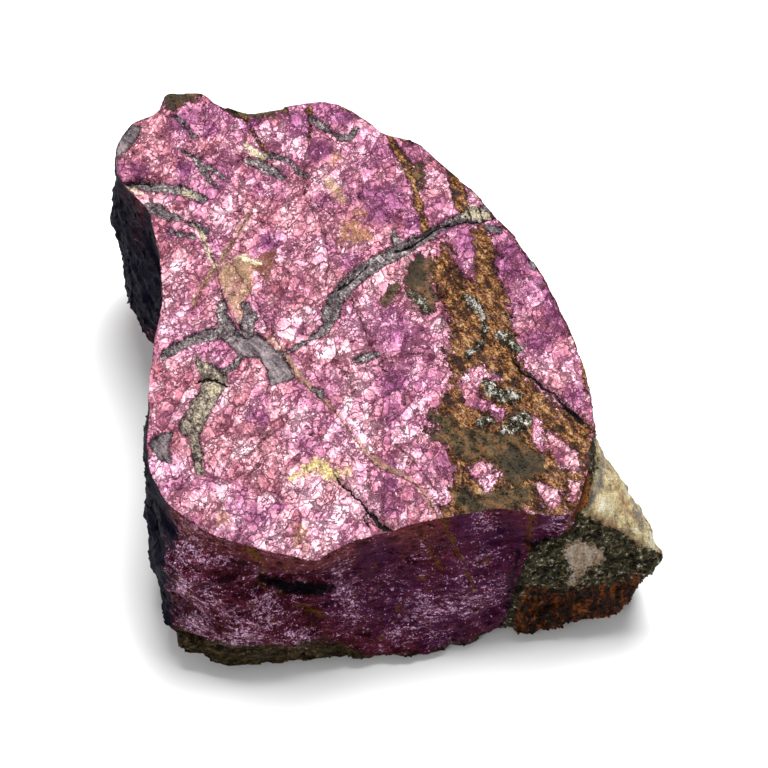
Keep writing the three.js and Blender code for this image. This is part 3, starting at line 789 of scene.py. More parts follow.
@dataclass
class StoneSurface:
    """The fine surface of the stone, made from its solid.

    Attributes:
        view: The photograph's view point, which the markings are projected from.
        rounds: How often the facets of the solid are smoothed.
        rim_smoothing: How often the edge of the bright face is smoothed along itself.
    """

    view: ViewPoint
    rounds: int = 14
    rim_smoothing: int = 10

    def build(self, solid: bpy.types.Object) -> bpy.types.Object:
        """Makes the fine stone.

        Args:
            solid: The stone's solid.

        Returns:
            The stone's object, with its marks as attributes of its vertices.
        """
        mesh = self._coarse(solid)
        low, high = mesh.points.min(axis=0), mesh.points.max(axis=0)
        while mesh.split_long_edges():
            pass
        rim = self._rim(mesh)
        self._smooth(mesh, rim)
        marks = self._marks(mesh, rim)
        mesh.points = mesh.points + mesh.normals() * self._relief(mesh, marks)[:, None]
        mesh.points = np.clip(mesh.points, low, high)
        for zone in Zone:
            log.info("%s: %d faces", zone.name, np.count_nonzero(mesh.zones == ZONES.index(zone)))
        return self._object(mesh, marks)

    def _coarse(self, solid: bpy.types.Object) -> FineMesh:
        """Copies the solid with its loose triangles joined.

        Args:
            solid: The stone's solid.

        Returns:
            The joined mesh, with a zone for each face.
        """
        data = solid.data
        points = np.zeros(len(data.vertices) * 3)
        data.vertices.foreach_get("co", points)
        data.calc_loop_triangles()
        faces = np.zeros(len(data.loop_triangles) * 3, np.int64)
        data.loop_triangles.foreach_get("vertices", faces)
        points = points.reshape(-1, 3) / MM
        keys = np.round(points * JOINTS_PER_MM).astype(np.int64)
        _, first, number = np.unique(keys, axis=0, return_index=True, return_inverse=True)
        faces = number.reshape(-1)[faces].reshape(-1, 3)
        repeated = (faces == np.roll(faces, 1, axis=1)).any(axis=1)
        mesh = FineMesh(points[first], faces[~repeated], np.zeros(0, int))
        normal = mesh.face_normals()
        normal /= np.maximum(np.linalg.norm(normal, axis=1, keepdims=True), TINY)
        centre = mesh.points[mesh.faces].mean(axis=1)
        above = centre[:, 2] - self._face_plane(centre)
        bright = (normal @ FACE_NORMAL > BRIGHT_FACING) & (above > BRIGHT_DEPTH)
        shown = (normal @ self.view.towards_camera > SHOWN_FACING) & (centre[:, 2] > SHOWN_HEIGHT)
        beneath = -normal[:, 2] > BENEATH_FACING
        bright = self._largest_piece(mesh, bright)
        kinds = [ZONES.index(zone) for zone in (Zone.BRIGHT, Zone.BENEATH, Zone.SHOWN)]
        mesh.zones = np.select([bright, beneath, shown], kinds, ZONES.index(Zone.HIDDEN))
        return mesh

    @staticmethod
    def _largest_piece(mesh: FineMesh, chosen: np.ndarray) -> np.ndarray:
        """Keeps the largest connected piece of some faces.

        Args:
            mesh: The joined mesh.
            chosen: Which faces to look at.

        Returns:
            Which faces are in that piece.
        """
        label = np.where(chosen, np.arange(len(chosen)), len(chosen))
        for _ in range(SPREAD_PASSES):
            lowest = np.full(len(mesh.points), len(chosen))
            for corner in range(3):
                np.minimum.at(lowest, mesh.faces[chosen, corner], label[chosen])
            spread = np.where(chosen, lowest[mesh.faces].min(axis=1), len(chosen))
            if (spread == label).all():
                break
            label = spread
        return label == np.bincount(label[chosen]).argmax()

    @staticmethod
    def _face_plane(points: np.ndarray) -> np.ndarray:
        """Returns the height of the bright face's plane at points."""
        return LIP_HEIGHT + FACE_FALL * (points[:, 1] - DRAWING_ORIGIN[1] - LIP_Y)

    @staticmethod
    def _rim(mesh: FineMesh) -> np.ndarray:
        """Returns the edges between the bright face and the walls, as vertex pairs."""
        pairs, sides = mesh.edges()
        bright = mesh.zones == ZONES.index(Zone.BRIGHT)
        touching = np.bincount(sides[bright].ravel(), minlength=len(pairs))
        return pairs[touching == 1]

    def _smooth(self, mesh: FineMesh, rim: np.ndarray) -> None:
        """Rounds the solid's facets, and keeps the rim crisp.

        Args:
            mesh: The fine mesh, which is changed.
            rim: The rim's edges.
        """
        pairs, sides = mesh.edges()
        on_rim = np.zeros(len(mesh.points), bool)
        on_rim[rim.ravel()] = True
        flat = mesh.points[:, 2] < FLAT_SPOT_HEIGHT
        on_flat = flat[mesh.faces].all(axis=1)
        spot_edge = pairs[np.bincount(sides[on_flat].ravel(), minlength=len(pairs)) == 1]
        for step in range(self.rounds):
            moved = mesh.averaged(mesh.points, pairs)
            along = mesh.averaged(mesh.points, rim)
            target = np.where(on_rim[:, None], along if step < self.rim_smoothing else mesh.points, moved)
            target[flat] = mesh.averaged(mesh.points, spot_edge)[flat]
            mesh.points = mesh.points + SMOOTHING * (target - mesh.points)

    def _marks(self, mesh: FineMesh, rim: np.ndarray) -> dict[str, np.ndarray]:
        """Measures every marking at every vertex.

        Args:
            mesh: The smoothed mesh.
            rim: The rim's edges.

        Returns:
            Named distances in millimetres and shares, one number a vertex.
        """
        pixels = self.view.project(mesh.points)
        drawn = mesh.points - DRAWING_ORIGIN
        normals = mesh.normals()
        scale = self.view.pixels_per_mm

        def past_streaks(lines: tuple[Streak, ...]) -> np.ndarray:
            """Distance past the edge of the nearest of several streaks."""
            return np.min([line.distances(pixels)[0] for line in lines], axis=0) / scale

        def past_patches(shapes: tuple[Patch, ...]) -> np.ndarray:
            """Distance past the edge of the nearest of several patches."""
            return np.min([shape.distance(pixels) for shape in shapes], axis=0) / scale

        def sides(lines: tuple[Streak, ...]) -> np.ndarray:
            """Signed distance from the nearest of several streaks' middle lines."""
            every = np.array([line.distances(pixels)[1] for line in lines])
            nearest = np.abs(every).argmin(axis=0)
            return every[nearest, np.arange(len(pixels))] / scale

        def widths(lines: tuple[Streak, ...]) -> np.ndarray:
            """Half width of the nearest of several streaks."""
            every = np.array([line.distances(pixels) for line in lines])
            nearest = np.abs(every[:, 1]).argmin(axis=0)
            edge, side = every[nearest, :, np.arange(len(pixels))].T
            return np.clip(np.abs(side) - edge, 0, WIDEST_GAP) / scale

        def spots(middles: tuple[tuple[float, float, float], ...]) -> np.ndarray:
            """Share of the strongest of several soft round spots."""
            every = [1 - np.hypot(pixels[:, 0] - x, pixels[:, 1] - y) / r for x, y, r in middles]
            return np.clip(np.max(every, axis=0), -1, 1)

        marks = {
            "rim": self._rim_distance(mesh, rim),
            "lump": self._lump_depth(drawn),
            "crack": sides(CRACKS),
            "open_crack": sides(OPEN_CRACKS),
            "open_width": widths(OPEN_CRACKS),
            "facing_left": -normals[:, 0],
            "facing_back": normals[:, 1],
            "height": drawn[:, 2],
            "front": -drawn[:, 1],
            "tone": np.full(len(pixels), MIDDLE),
        }
        for measure, table in (
            (past_streaks, STREAK_MARKS), (past_patches, PATCH_MARKS), (spots, SPOT_MARKS),
        ):
            marks.update((name, measure(shapes)) for name, shapes in table.items())
        marks["tan"] = np.minimum(past_patches(TAN_PATCHES), marks["tan"])
        for name in ("crack", "open_crack"):
            marks[name] = np.clip(marks[name], -CRACK_REACH, CRACK_REACH)
        low, high = mesh.points.min(axis=0)[:2], mesh.points.max(axis=0)[:2]
        margin = np.minimum(mesh.points[:, :2] - low, high - mesh.points[:, :2]).min(axis=1)
        for name, share in self._shares(marks).items():
            marks[name] = share * smooth_step(margin, *BOX_MARGIN)
        return marks

    @staticmethod
    def _shares(marks: dict[str, np.ndarray]) -> dict[str, np.ndarray]:
        """Says where each kind of small broken piece stands.

        Args:
            marks: The markings.

        Returns:
            Named shares from 0 to 1, one number a vertex.
        """
        on_face = smooth_step(marks["rim"], 0.5, 0.9)
        on_wall = smooth_step(marks["rim"], -0.6, -1.2) * smooth_step(marks["height"], 0.8, 1.6)
        open_rust = np.where(marks["island"] < 0, 1.0, np.minimum(marks["rust"], marks["rust_line"]))
        veined = np.minimum(np.minimum(marks["vein"], marks["nodule"]), marks["green_vein"])
        covered = np.minimum(np.minimum(veined, marks["slate"]), np.minimum(open_rust, marks["olive"]))
        gap = smooth_step(np.abs(marks["open_crack"]), 0.4, 0.8)
        grainy = smooth_step(veined, 0.05, -0.15)
        crusty = 0.5 * smooth_step(np.minimum(open_rust, marks["olive"]), 0.2, -0.4)
        in_lump = smooth_step(marks["lump"], 0.0, 0.3)
        low = smooth_step(marks["height"], 3.4, 2.0)
        lump_grit = in_lump * smooth_step(marks["cream_facet"], -0.2, 0.4)
        return {
            "flake_share": on_face * gap * smooth_step(covered, 0.1, 0.5),
            "grain_share": on_face * gap * np.maximum(grainy, crusty),
            "splinter_share": on_wall * (1 - in_lump) * (1 - low),
            "grit_share": on_wall * np.maximum(lump_grit, 0.8 * low),
        }

    @staticmethod
    def _rim_distance(mesh: FineMesh, rim: np.ndarray) -> np.ndarray:
        """Measures how far each vertex is from the rim, up to RIM_REACH.

        Args:
            mesh: The smoothed mesh.
            rim: The rim's edges.

        Returns:
            Distances, positive on the bright face and negative on the walls.
        """
        edge = mesh.points[np.unique(rim)]
        tree = KDTree(len(edge))
        for number, point in enumerate(edge):
            tree.insert(point, number)
        tree.balance()
        reach = np.array([tree.find(point)[2] for point in mesh.points])
        bright = np.zeros(len(mesh.points), bool)
        bright[mesh.faces[mesh.zones == ZONES.index(Zone.BRIGHT)].ravel()] = True
        return np.where(bright, reach, -reach).clip(-RIM_REACH, RIM_REACH)

    @staticmethod
    def _lump_depth(drawn: np.ndarray) -> np.ndarray:
        """Measures how far inside the feldspar lump's contact each point is.

        Args:
            drawn: Points about the drawing origin.

        Returns:
            Distances, positive in the lump and negative in the purpurite.
        """
        across, along, height = drawn.T
        from_left = across - np.interp(height, LUMP_HEIGHTS, LUMP_CONTACT)
        bend = np.sin(height * 0.42 + 0.8) * 1.3 + np.sin(height * 1.1 + 2.0) * 0.5
        bend = bend * smooth_step(height, 17, 12)
        return np.minimum(from_left, LUMP_REAR + bend - along)

    def _relief(self, mesh: FineMesh, marks: dict[str, np.ndarray]) -> np.ndarray:
        """Works out how far each vertex moves along its normal.

        Args:
            mesh: The smoothed mesh.
            marks: The markings at its vertices.

        Returns:
            Moves in millimetres, most of them inwards.
        """
        points = mesh.points
        warp = np.stack([noise(points, 3.0, seed) for seed in (11, 12, 13)], axis=1) * FACET_WARP
        longest = np.zeros(len(points))
        for corner in range(3):
            np.maximum.at(longest, mesh.faces[:, corner], mesh.allowed())
        fine = np.clip(Zone.SHOWN.value / longest, 0, 1) ** 2
        bright = smooth_step(marks["rim"], 0.0, 0.5)
        lump = smooth_step(marks["lump"], -0.2, 0.2) * (1 - bright)
        face = self._face_relief(points, points + warp, marks)
        wall = self._wall_relief(points, points + warp, marks, fine)
        feldspar = LUMP_FACETS.relief(points + warp) + 0.1 * noise(points, 0.6, 52) * fine
        total = wall * (1 - lump) + feldspar * lump
        total = total * (1 - bright) + face * bright
        return total * smooth_step(points[:, 2], 0.0, 0.4)

    @staticmethod
    def _face_relief(points: np.ndarray, warped: np.ndarray, marks: dict[str, np.ndarray]) -> np.ndarray:
        """Works out the cleavage flakes, sunk veins, cracks and crusts of the bright face.

        Args:
            points: Places of the vertices.
            warped: The same places, warped so that the flakes aren't straight-edged.
            marks: The markings.

        Returns:
            Moves in millimetres.
        """
        flakes = sum(facets.relief(warped) for facets in FACE_FACETS)
        ragged = 0.12 * noise(points, 0.9, 22)
        every_vein = np.minimum(np.minimum(marks["vein"], marks["green_vein"]), marks["slate"])
        vein = smooth_step(ragged - every_vein, -0.1, 0.25)
        grains = 0.14 * noise(points, 0.55, 23)
        clean = smooth_step(marks["island"], -0.2, 0.3)
        rust = smooth_step(-np.minimum(marks["rust"], marks["rust_line"]) + 4 * ragged, -0.3, 0.5) * clean
        rough = 0.16 * noise(points, 0.8, 24) + 0.12 * noise(points, 1.9, 25) - 0.16
        olive = smooth_step(-marks["olive"] + 2 * ragged, -0.2, 0.4)
        nodule = smooth_step(-marks["nodule"] + ragged, -0.2, 0.3)
        crack = 1 - smooth_step(np.abs(marks["crack"] + ragged), 0.0, 0.3)
        gap = 1 - smooth_step(np.abs(marks["open_crack"] + ragged) - marks["open_width"], -0.05, 0.3)
        height = flakes * (1 - rust) + rough * rust
        height = height * (1 - vein) + (grains - 0.34) * vein
        height = height * (1 - olive) + (0.06 * noise(points, 1.4, 26) - 0.02) * olive
        height = height * (1 - nodule) + (0.3 * noise(points, 0.9, 27) + 0.15) * nodule
        return height - 0.16 * crack - 0.5 * gap

    @staticmethod
    def _wall_relief(points: np.ndarray, warped: np.ndarray, marks: dict[str, np.ndarray],
                     fine: np.ndarray) -> np.ndarray:
        """Works out the splinters and level striations of the broken walls.

        Args:
            points: Places of the vertices.
            warped: The same places, warped.
            marks: The markings.
            fine: Share of the small relief that the mesh is fine enough for.

        Returns:
            Moves in millimetres.
        """
        splinters = WALL_BLOCKS.relief(warped) + WALL_CHIPS.relief(warped) * fine
        left = smooth_step(points[:, 0], 2.0, -8.0)
        flat = points * np.array([1.0, 1.0, 6.0])
        striations = 0.28 * noise(flat, 5.0, 43) * left + 0.14 * noise(flat, 2.2, 44) * fine
        band = smooth_step(marks["rim"], -4.5, -1.5)
        crust = smooth_step(marks["height"] + noise(points, 2.5, 45), 4.0, 1.5)
        grit = 0.14 * noise(points, 0.7, 46) * crust * fine
        split = 0.3 * smooth_step(marks["wall_crack"], 0.15, -0.15)
        return (splinters + striations) * (1 - 0.55 * band) + grit - split - 0.1

    @staticmethod
    def _object(mesh: FineMesh, marks: dict[str, np.ndarray]) -> bpy.types.Object:
        """Makes the Blender object.

        Args:
            mesh: The finished mesh.
            marks: The markings, which become attributes.

        Returns:
            The object.
        """
        data = bpy.data.meshes.new("stone_surface")
        data.vertices.add(len(mesh.points))
        data.vertices.foreach_set("co", (mesh.points * MM).ravel())
        data.loops.add(mesh.faces.size)
        data.loops.foreach_set("vertex_index", mesh.faces.ravel())
        data.polygons.add(len(mesh.faces))
        data.polygons.foreach_set("loop_start", np.arange(0, mesh.faces.size, 3))
        walls = mesh.zones != ZONES.index(Zone.BRIGHT)
        data.polygons.foreach_set("material_index", walls.astype(np.int32))
        data.update(calc_edges=True)
        data.validate()
        data.shade_smooth()
        for name, values in marks.items():
            attribute = data.attributes.new(name, "FLOAT", "POINT")
            attribute.data.foreach_set("value", values.astype(np.float32))
        stone = bpy.data.objects.new("stone_surface", data)
        bpy.context.scene.collection.objects.link(stone)
        return stone


class Graph:
    """Adds nodes to a shader tree or a geometry tree."""

    def __init__(self, tree: bpy.types.NodeTree) -> None:
        """Keeps the tree that nodes are added to."""
        self.tree = tree

    def node(self, kind: str, settings: dict | None = None, inputs: dict | None = None) -> bpy.types.Node:
        """Adds a node.

        Args:
            kind: The node's Blender type.
            settings: Attributes that are set first. "stops" holds a ramp's places and colours.
            inputs: Values or links by the socket's name or number.

        Returns:
            The node.
        """
        made = self.tree.nodes.new(kind)
        for name, setting in (settings or {}).items():
            if name == "stops":
                self._set_stops(made.color_ramp, setting)
            else:
                setattr(made, name, setting)
        for key, given in (inputs or {}).items():
            socket = made.inputs[key]
            given = getattr(given, "socket", given)
            if isinstance(given, bpy.types.NodeSocket):
                self.tree.links.new(given, socket)
            else:
                socket.default_value = given
        return made

    @staticmethod
    def _set_stops(ramp: bpy.types.ColorRamp, stops: list[tuple[float, tuple]]) -> None:
        """Gives a ramp its stops."""
        while len(ramp.elements) < len(stops):
            ramp.elements.new(1.0)
        for element, (place, colour) in zip(ramp.elements, stops):
            element.position = place
            element.color = colour

    def number(self, kind: str, settings: dict | None = None, inputs: dict | None = None,
               output: str | int = 0) -> "Number":
        """Adds a node and wraps one of its outputs as a number."""
        return Number(self, self.node(kind, settings, inputs).outputs[output])

    def mark(self, name: str) -> "Number":
        """Reads one of the stone's attributes."""
        return self.number("ShaderNodeAttribute", {"attribute_name": name}, output="Fac")


class Number:
    """A number that varies over a surface: a socket that Python's operators work on."""

    def __init__(self, graph: Graph, socket: bpy.types.NodeSocket) -> None:
        """Wraps a socket of the graph's tree."""
        self.graph = graph
        self.socket = socket

    def _math(self, operation: str, *operands: "Number | float") -> "Number":
        """Adds one Math node."""
        return self.graph.number("ShaderNodeMath", {"operation": operation}, dict(enumerate(operands)))

    def __add__(self, other: "Number | float") -> "Number":
        """Sum."""
        return self._math("ADD", self, other)

    def __sub__(self, other: "Number | float") -> "Number":
        """Difference."""
        return self._math("SUBTRACT", self, other)

    def __rsub__(self, other: float) -> "Number":
        """Difference from a plain number."""
        return self._math("SUBTRACT", other, self)

    def __mul__(self, other: "Number | float") -> "Number":
        """Product."""
        return self._math("MULTIPLY", self, other)

    def __neg__(self) -> "Number":
        """Opposite."""
        return self._math("MULTIPLY", self, -1.0)

    def __abs__(self) -> "Number":
        """Size without sign."""
        return self._math("ABSOLUTE", self)

    __radd__ = __add__
    __rmul__ = __mul__

    def most(self, other: "Number | float") -> "Number":
        """The larger of two numbers."""
        return self._math("MAXIMUM", self, other)

    def swing(self, strength: float) -> "Number":
        """How far a pattern is from its middle, times a strength."""
        return (self - MIDDLE) * strength

    def eased(self, low: float, high: float) -> "Number":
        """Eases from 0 at `low` to 1 at `high`; `low` may be the larger."""
        if low > high:
            return 1.0 - self.eased(high, low)
        inputs = {"Value": self, "From Min": low, "From Max": high}
        return self.graph.number("ShaderNodeMapRange", {"interpolation_type": "SMOOTHSTEP"}, inputs)


class Paint:
    """A colour that varies over a surface."""

    def __init__(self, graph: Graph, socket: "bpy.types.NodeSocket | tuple") -> None:
        """Wraps a colour socket or a plain colour."""
        self.graph = graph
        self.socket = socket

    def over(self, other: "Paint | tuple", share: "Number | float") -> "Paint":
        """Blends another colour over this one.

        Args:
            other: The colour that goes on top.
            share: How much of it shows.

        Returns:
            The blended colour.
        """
        made = self.graph.node("ShaderNodeMix", {"data_type": "RGBA"}, {0: share, 6: self, 7: other})
        return Paint(self.graph, made.outputs[2])


@dataclass(frozen=True)
class Coat:
    """One kind of surface of the stone: its colour, gloss and fine relief in millimetres."""

    colour: Paint
    roughness: "Number | float"
    metallic: "Number | float"
    relief: Number

    def under(self, top: "Coat", share: Number) -> "Coat":
        """Lays another coat over this one.

        Args:
            top: The coat that goes on top.
            share: How much of it shows.

        Returns:
            The blended coat.
        """
        graph = share.graph

        def blend(below: "Number | float", above: "Number | float") -> Number:
            """Blends two numbers by the share."""
            return graph.number("ShaderNodeMix", {"data_type": "FLOAT"}, {0: share, 2: below, 3: above})

        return Coat(
            self.colour.over(top.colour, share),
            blend(self.roughness, top.roughness),
            blend(self.metallic, top.metallic),
            blend(self.relief, top.relief),
        )


@dataclass(frozen=True)
class Mosaic:
    """A shader mosaic of small facets.

    Attributes:
        tone: A random number for each facet.
        other: A second random number for each facet.
        tilt: Height on the facet's own sloping plane, about -0.4 to 0.4.
        edge: Distance from the facet's edge.
    """

    tone: Number
    other: Number
    tilt: Number
    edge: Number


# Where the four colours of a row of cleavage tones stand on its ramp.
ROW_STOPS = (0.1, 0.36, 0.56, 0.82)


@dataclass(frozen=True)
class CleavageTones:
    """Colours of the bright cleavage: a warm and a cool row from dark to light, its lines, and the pale
    colour of its painted glints.
    """

    warm: tuple = (srgb(108, 54, 66), srgb(170, 104, 116), srgb(208, 146, 156), srgb(244, 200, 210))
    cool: tuple = (srgb(92, 44, 72), srgb(150, 88, 122), srgb(192, 122, 154), srgb(234, 174, 202))
    line: tuple = srgb(66, 18, 42)
    glint: tuple = srgb(255, 232, 242)
    violet: tuple = srgb(126, 62, 116)

    @staticmethod
    def stops(row: tuple) -> list[tuple[float, tuple]]:
        """Returns a ramp's stops for one row of colours."""
        return list(zip(ROW_STOPS, row))


@dataclass(frozen=True)
class WallTones:
    """Colours of the broken walls: their own dark maroon, kept darker than the cleavage partly as painted
    shade of the front wall.
    """

    dark: tuple = srgb(26, 3, 12)
    maroon: tuple = srgb(72, 20, 32)
    wine: tuple = srgb(108, 48, 66)
    plum: tuple = srgb(66, 20, 64)
    # violet and glint paint the walls' glints.
    violet: tuple = srgb(128, 68, 116)
    glint: tuple = srgb(236, 196, 226)
    lip: tuple = srgb(116, 54, 50)
    # black and navy paint the shade of the hollows and the side facing left; moss_dark does too, and also
    # colours the crust.
    black: tuple = srgb(4, 4, 10)
    navy: tuple = srgb(22, 18, 38)
    moss: tuple = srgb(92, 80, 34)
    moss_dark: tuple = srgb(18, 16, 8)
    stain: tuple = srgb(112, 70, 28)


@dataclass(frozen=True)
class VeinTones:
    """Colours of the veins, stains and crusts."""

    black: tuple = srgb(42, 32, 38)
    grey: tuple = srgb(96, 86, 90)
    silver: tuple = srgb(140, 126, 128)
    ash: tuple = srgb(182, 160, 160)
    nodule: tuple = srgb(130, 132, 120)
    fleck: tuple = srgb(226, 218, 212)
    green: tuple = srgb(112, 98, 88)
    sage: tuple = srgb(154, 142, 128)
    cream: tuple = srgb(200, 188, 158)
    rust: tuple = srgb(118, 72, 28)
    ochre: tuple = srgb(158, 110, 62)
    burnt: tuple = srgb(62, 36, 16)
    straw: tuple = srgb(196, 158, 112)
    olive: tuple = srgb(76, 64, 46)
    olive_light: tuple = srgb(122, 104, 82)
    olive_dark: tuple = srgb(30, 24, 12)
    tan: tuple = srgb(158, 130, 96)
    ochre_spot: tuple = srgb(152, 112, 62)
    brown: tuple = srgb(106, 64, 50)
    yellow: tuple = srgb(214, 200, 122)
    soot: tuple = srgb(46, 44, 36)
    crack: tuple = srgb(60, 26, 26)
    gap: tuple = srgb(8, 4, 6)


@dataclass(frozen=True)
class FeldsparTones:
    """Colours of the feldspar lump."""

    cream: tuple = srgb(178, 156, 118)
    yellow: tuple = srgb(208, 192, 142)
    white: tuple = srgb(228, 224, 212)
    blue_grey: tuple = srgb(104, 102, 100)
    amber: tuple = srgb(140, 92, 46)
    pink: tuple = srgb(170, 140, 114)
    olive: tuple = srgb(54, 50, 34)
    grain: tuple = srgb(108, 98, 72)
    black: tuple = srgb(12, 10, 6)
    rust: tuple = srgb(126, 66, 18)
    maroon: tuple = srgb(44, 14, 8)


class StoneFinish:
    """One material of the stone, mixed from coats by the stone's marks."""

    def __init__(self, name: str) -> None:
        """Starts an empty material.

        Args:
            name: The material's name.
        """
        self.material = bpy.data.materials.new(name)
        self.material.use_nodes = True
        self.material.node_tree.nodes.clear()
        self.graph = Graph(self.material.node_tree)
        object_place = self.graph.node("ShaderNodeTexCoord").outputs["Object"]
        scaled = self.graph.node("ShaderNodeVectorMath", {"operation": "SCALE"},
                                 {0: object_place, "Scale": 1 / MM})
        self.place = scaled.outputs[0]
        self.ragged = self.noise(1.2, detail=5.0, roughness=0.75) - 0.5
        self.fine = self.noise(4.2, detail=3.0, roughness=0.7, shift=7.0)
        self.tones = VeinTones()

    def noise(self, per_mm: float, detail: float = 2.0, roughness: float = 0.5,
              stretch: tuple[float, float, float] = (1.0, 1.0, 1.0), shift: float = 0.0,
              turn: float = 0.0) -> Number:
        """Adds fractal noise.

        Args:
            per_mm: Lumps in a millimetre.
            detail: Octaves.
            roughness: Strength of the finer octaves.
            stretch: How much shorter the lumps are along each axis.
            shift: Moves the pattern, which gives another one.
            turn: Turn about the vertical, in degrees.

        Returns:
            Numbers around 0.5.
        """
        place = self.moved(stretch, shift, turn)
        inputs = {"Vector": place, "Scale": per_mm, "Detail": detail, "Roughness": roughness}
        return self.graph.number("ShaderNodeTexNoise", {}, inputs)

    def moved(self, stretch: tuple[float, float, float], shift: float = 0.0,
              turn: float = 0.0) -> bpy.types.NodeSocket:
        """Places a pattern on the stone.

        Args:
            stretch: Scale of the pattern's coordinates along each axis.
            shift: How far the pattern is moved along every axis.
            turn: Turn about the vertical, in degrees.

        Returns:
            The pattern's coordinates, in millimetres.
        """
        turned = self.place
        if turn:
            inputs = {"Vector": turned, "Rotation": (0.0, 0.0, math.radians(turn))}
            turned = self.graph.node("ShaderNodeMapping", {}, inputs).outputs[0]
        inputs = {"Vector": turned, "Scale": stretch, "Location": (shift, shift, shift)}
        return self.graph.node("ShaderNodeMapping", {}, inputs).outputs[0]

    def mosaic(self, per_mm: float, stretch: tuple[float, float, float], turn: float = 0.0,
               warp: float = 0.0) -> Mosaic:
        """Adds a mosaic of facets.

        Args:
            per_mm: Facets in a millimetre.
            stretch: How much shorter the facets are along each axis.
            turn: Turn of the mosaic about the vertical, in degrees.
            warp: How far its edges wander, in millimetres.

        Returns:
            The mosaic.
        """
        place = self.moved(stretch, turn=turn)
        drift = self.graph.node("ShaderNodeVectorMath", {"operation": "SCALE"},
                                {0: (warp, -0.8 * warp, 0.6 * warp), "Scale": self.ragged * 2.5})
        place = self.vector("ADD", place, drift.outputs[0])
        cells = self.graph.node("ShaderNodeTexVoronoi", {}, {"Vector": place, "Scale": per_mm})
        edge = self.graph.number("ShaderNodeTexVoronoi", {"feature": "DISTANCE_TO_EDGE"},
                                 {"Vector": place, "Scale": per_mm})
        offset = self.vector("SUBTRACT", place, cells.outputs["Position"])
        parts = self.graph.node("ShaderNodeSeparateColor", {}, {0: cells.outputs["Color"]}).outputs
        own = self.graph.node("ShaderNodeCombineXYZ", {}, dict(enumerate(parts)))
        slope = self.vector("SUBTRACT", own.outputs[0], (0.5, 0.5, 0.5))
        tilt = self.graph.number("ShaderNodeVectorMath", {"operation": "DOT_PRODUCT"},
                                 {0: offset, 1: slope}, "Value")
        return Mosaic(Number(self.graph, parts[0]), Number(self.graph, parts[1]), tilt * per_mm, edge)

    def threads(self, per_mm: float, reach: float, detail: float = 3.0,
                stretch: tuple[float, float, float] = (1.0, 1.0, 1.0), shift: float = 0.0,
                turn: float = 0.0) -> Number:
        """Adds thin crinkled lines: the places where a noise crosses its middle.

        Args:
            per_mm: Lumps of the noise in a millimetre.
            reach: How far from its middle the noise still counts, which sets the width.
            detail: Octaves.
            stretch: How much shorter the lumps are along each axis.
            shift: Moves the pattern, which gives another one.
            turn: Turn about the vertical, in degrees.

        Returns:
            1 on a line and 0 off it.
        """
        field = self.noise(per_mm, detail, 0.6, stretch, shift, turn)
        return abs(field - 0.5).eased(reach, 0.35 * reach)

    def vector(self, operation: str, *operands: "bpy.types.NodeSocket | tuple") -> bpy.types.NodeSocket:
        """Adds one Vector Math node and returns its vector."""
        made = self.graph.node("ShaderNodeVectorMath", {"operation": operation}, dict(enumerate(operands)))
        return made.outputs[0]

    def ramp(self, share: Number, stops: list[tuple[float, tuple]]) -> Paint:
        """Turns a number into a colour between stops."""
        made = self.graph.node("ShaderNodeValToRGB", {"stops": stops}, {0: share})
        return Paint(self.graph, made.outputs[0])

    def inside(self, name: str, wander: float = 1.0, soft: float = 0.05) -> Number:
        """Share of a marking whose edge wanders.

        Args:
            name: The attribute, a distance that is negative inside the marking.
            wander: How far the edge wanders.
            soft: Half the width of the blend at the edge.

        Returns:
            1 inside the marking and 0 outside it.
        """
        return self.near(name, 2 * wander, soft, -soft)

    def near(self, name: str, ragged: float, low: float, high: float) -> Number:
        """Eases a mark, whose line is made ragged, from 0 at `low` to 1 at `high`."""
        return (self.graph.mark(name) + self.ragged * ragged).eased(low, high)

    def stained(self, coat: Coat, colour: tuple, share: Number) -> Coat:
        """Stains a coat with one colour, darker and lighter with the fine grain.

        Args:
            coat: The coat below, which keeps its relief.
            colour: The stain's colour.
            share: How much of the stain shows.

        Returns:
            The stained coat.
        """
        dark, light = ((*(min(part * change, 1.0) for part in colour[:3]), 1.0) for change in (0.6, 1.4))
        stain = self.ramp(self.fine, [(0.34, dark), (0.66, light)])
        return Coat(coat.colour.over(stain, share), coat.roughness, coat.metallic, coat.relief)

    def shade(self, coat: Coat, specular: float) -> bpy.types.Material:
        """Feeds a coat to the surface.

        Args:
            coat: The finished coat.
            specular: Strength of the gloss.

        Returns:
            The material.
        """
        heights = {"Height": coat.relief, "Distance": MM, "Strength": 1.0}
        bump = self.graph.node("ShaderNodeBump", {}, heights)
        inputs = {"Base Color": coat.colour, "Roughness": coat.roughness, "Metallic": coat.metallic,
                  "Specular IOR Level": specular, "Normal": bump.outputs[0]}
        principled = self.graph.node("ShaderNodeBsdfPrincipled", {}, inputs)
        self.graph.node("ShaderNodeOutputMaterial", {}, {0: principled.outputs[0]})
        return self.material


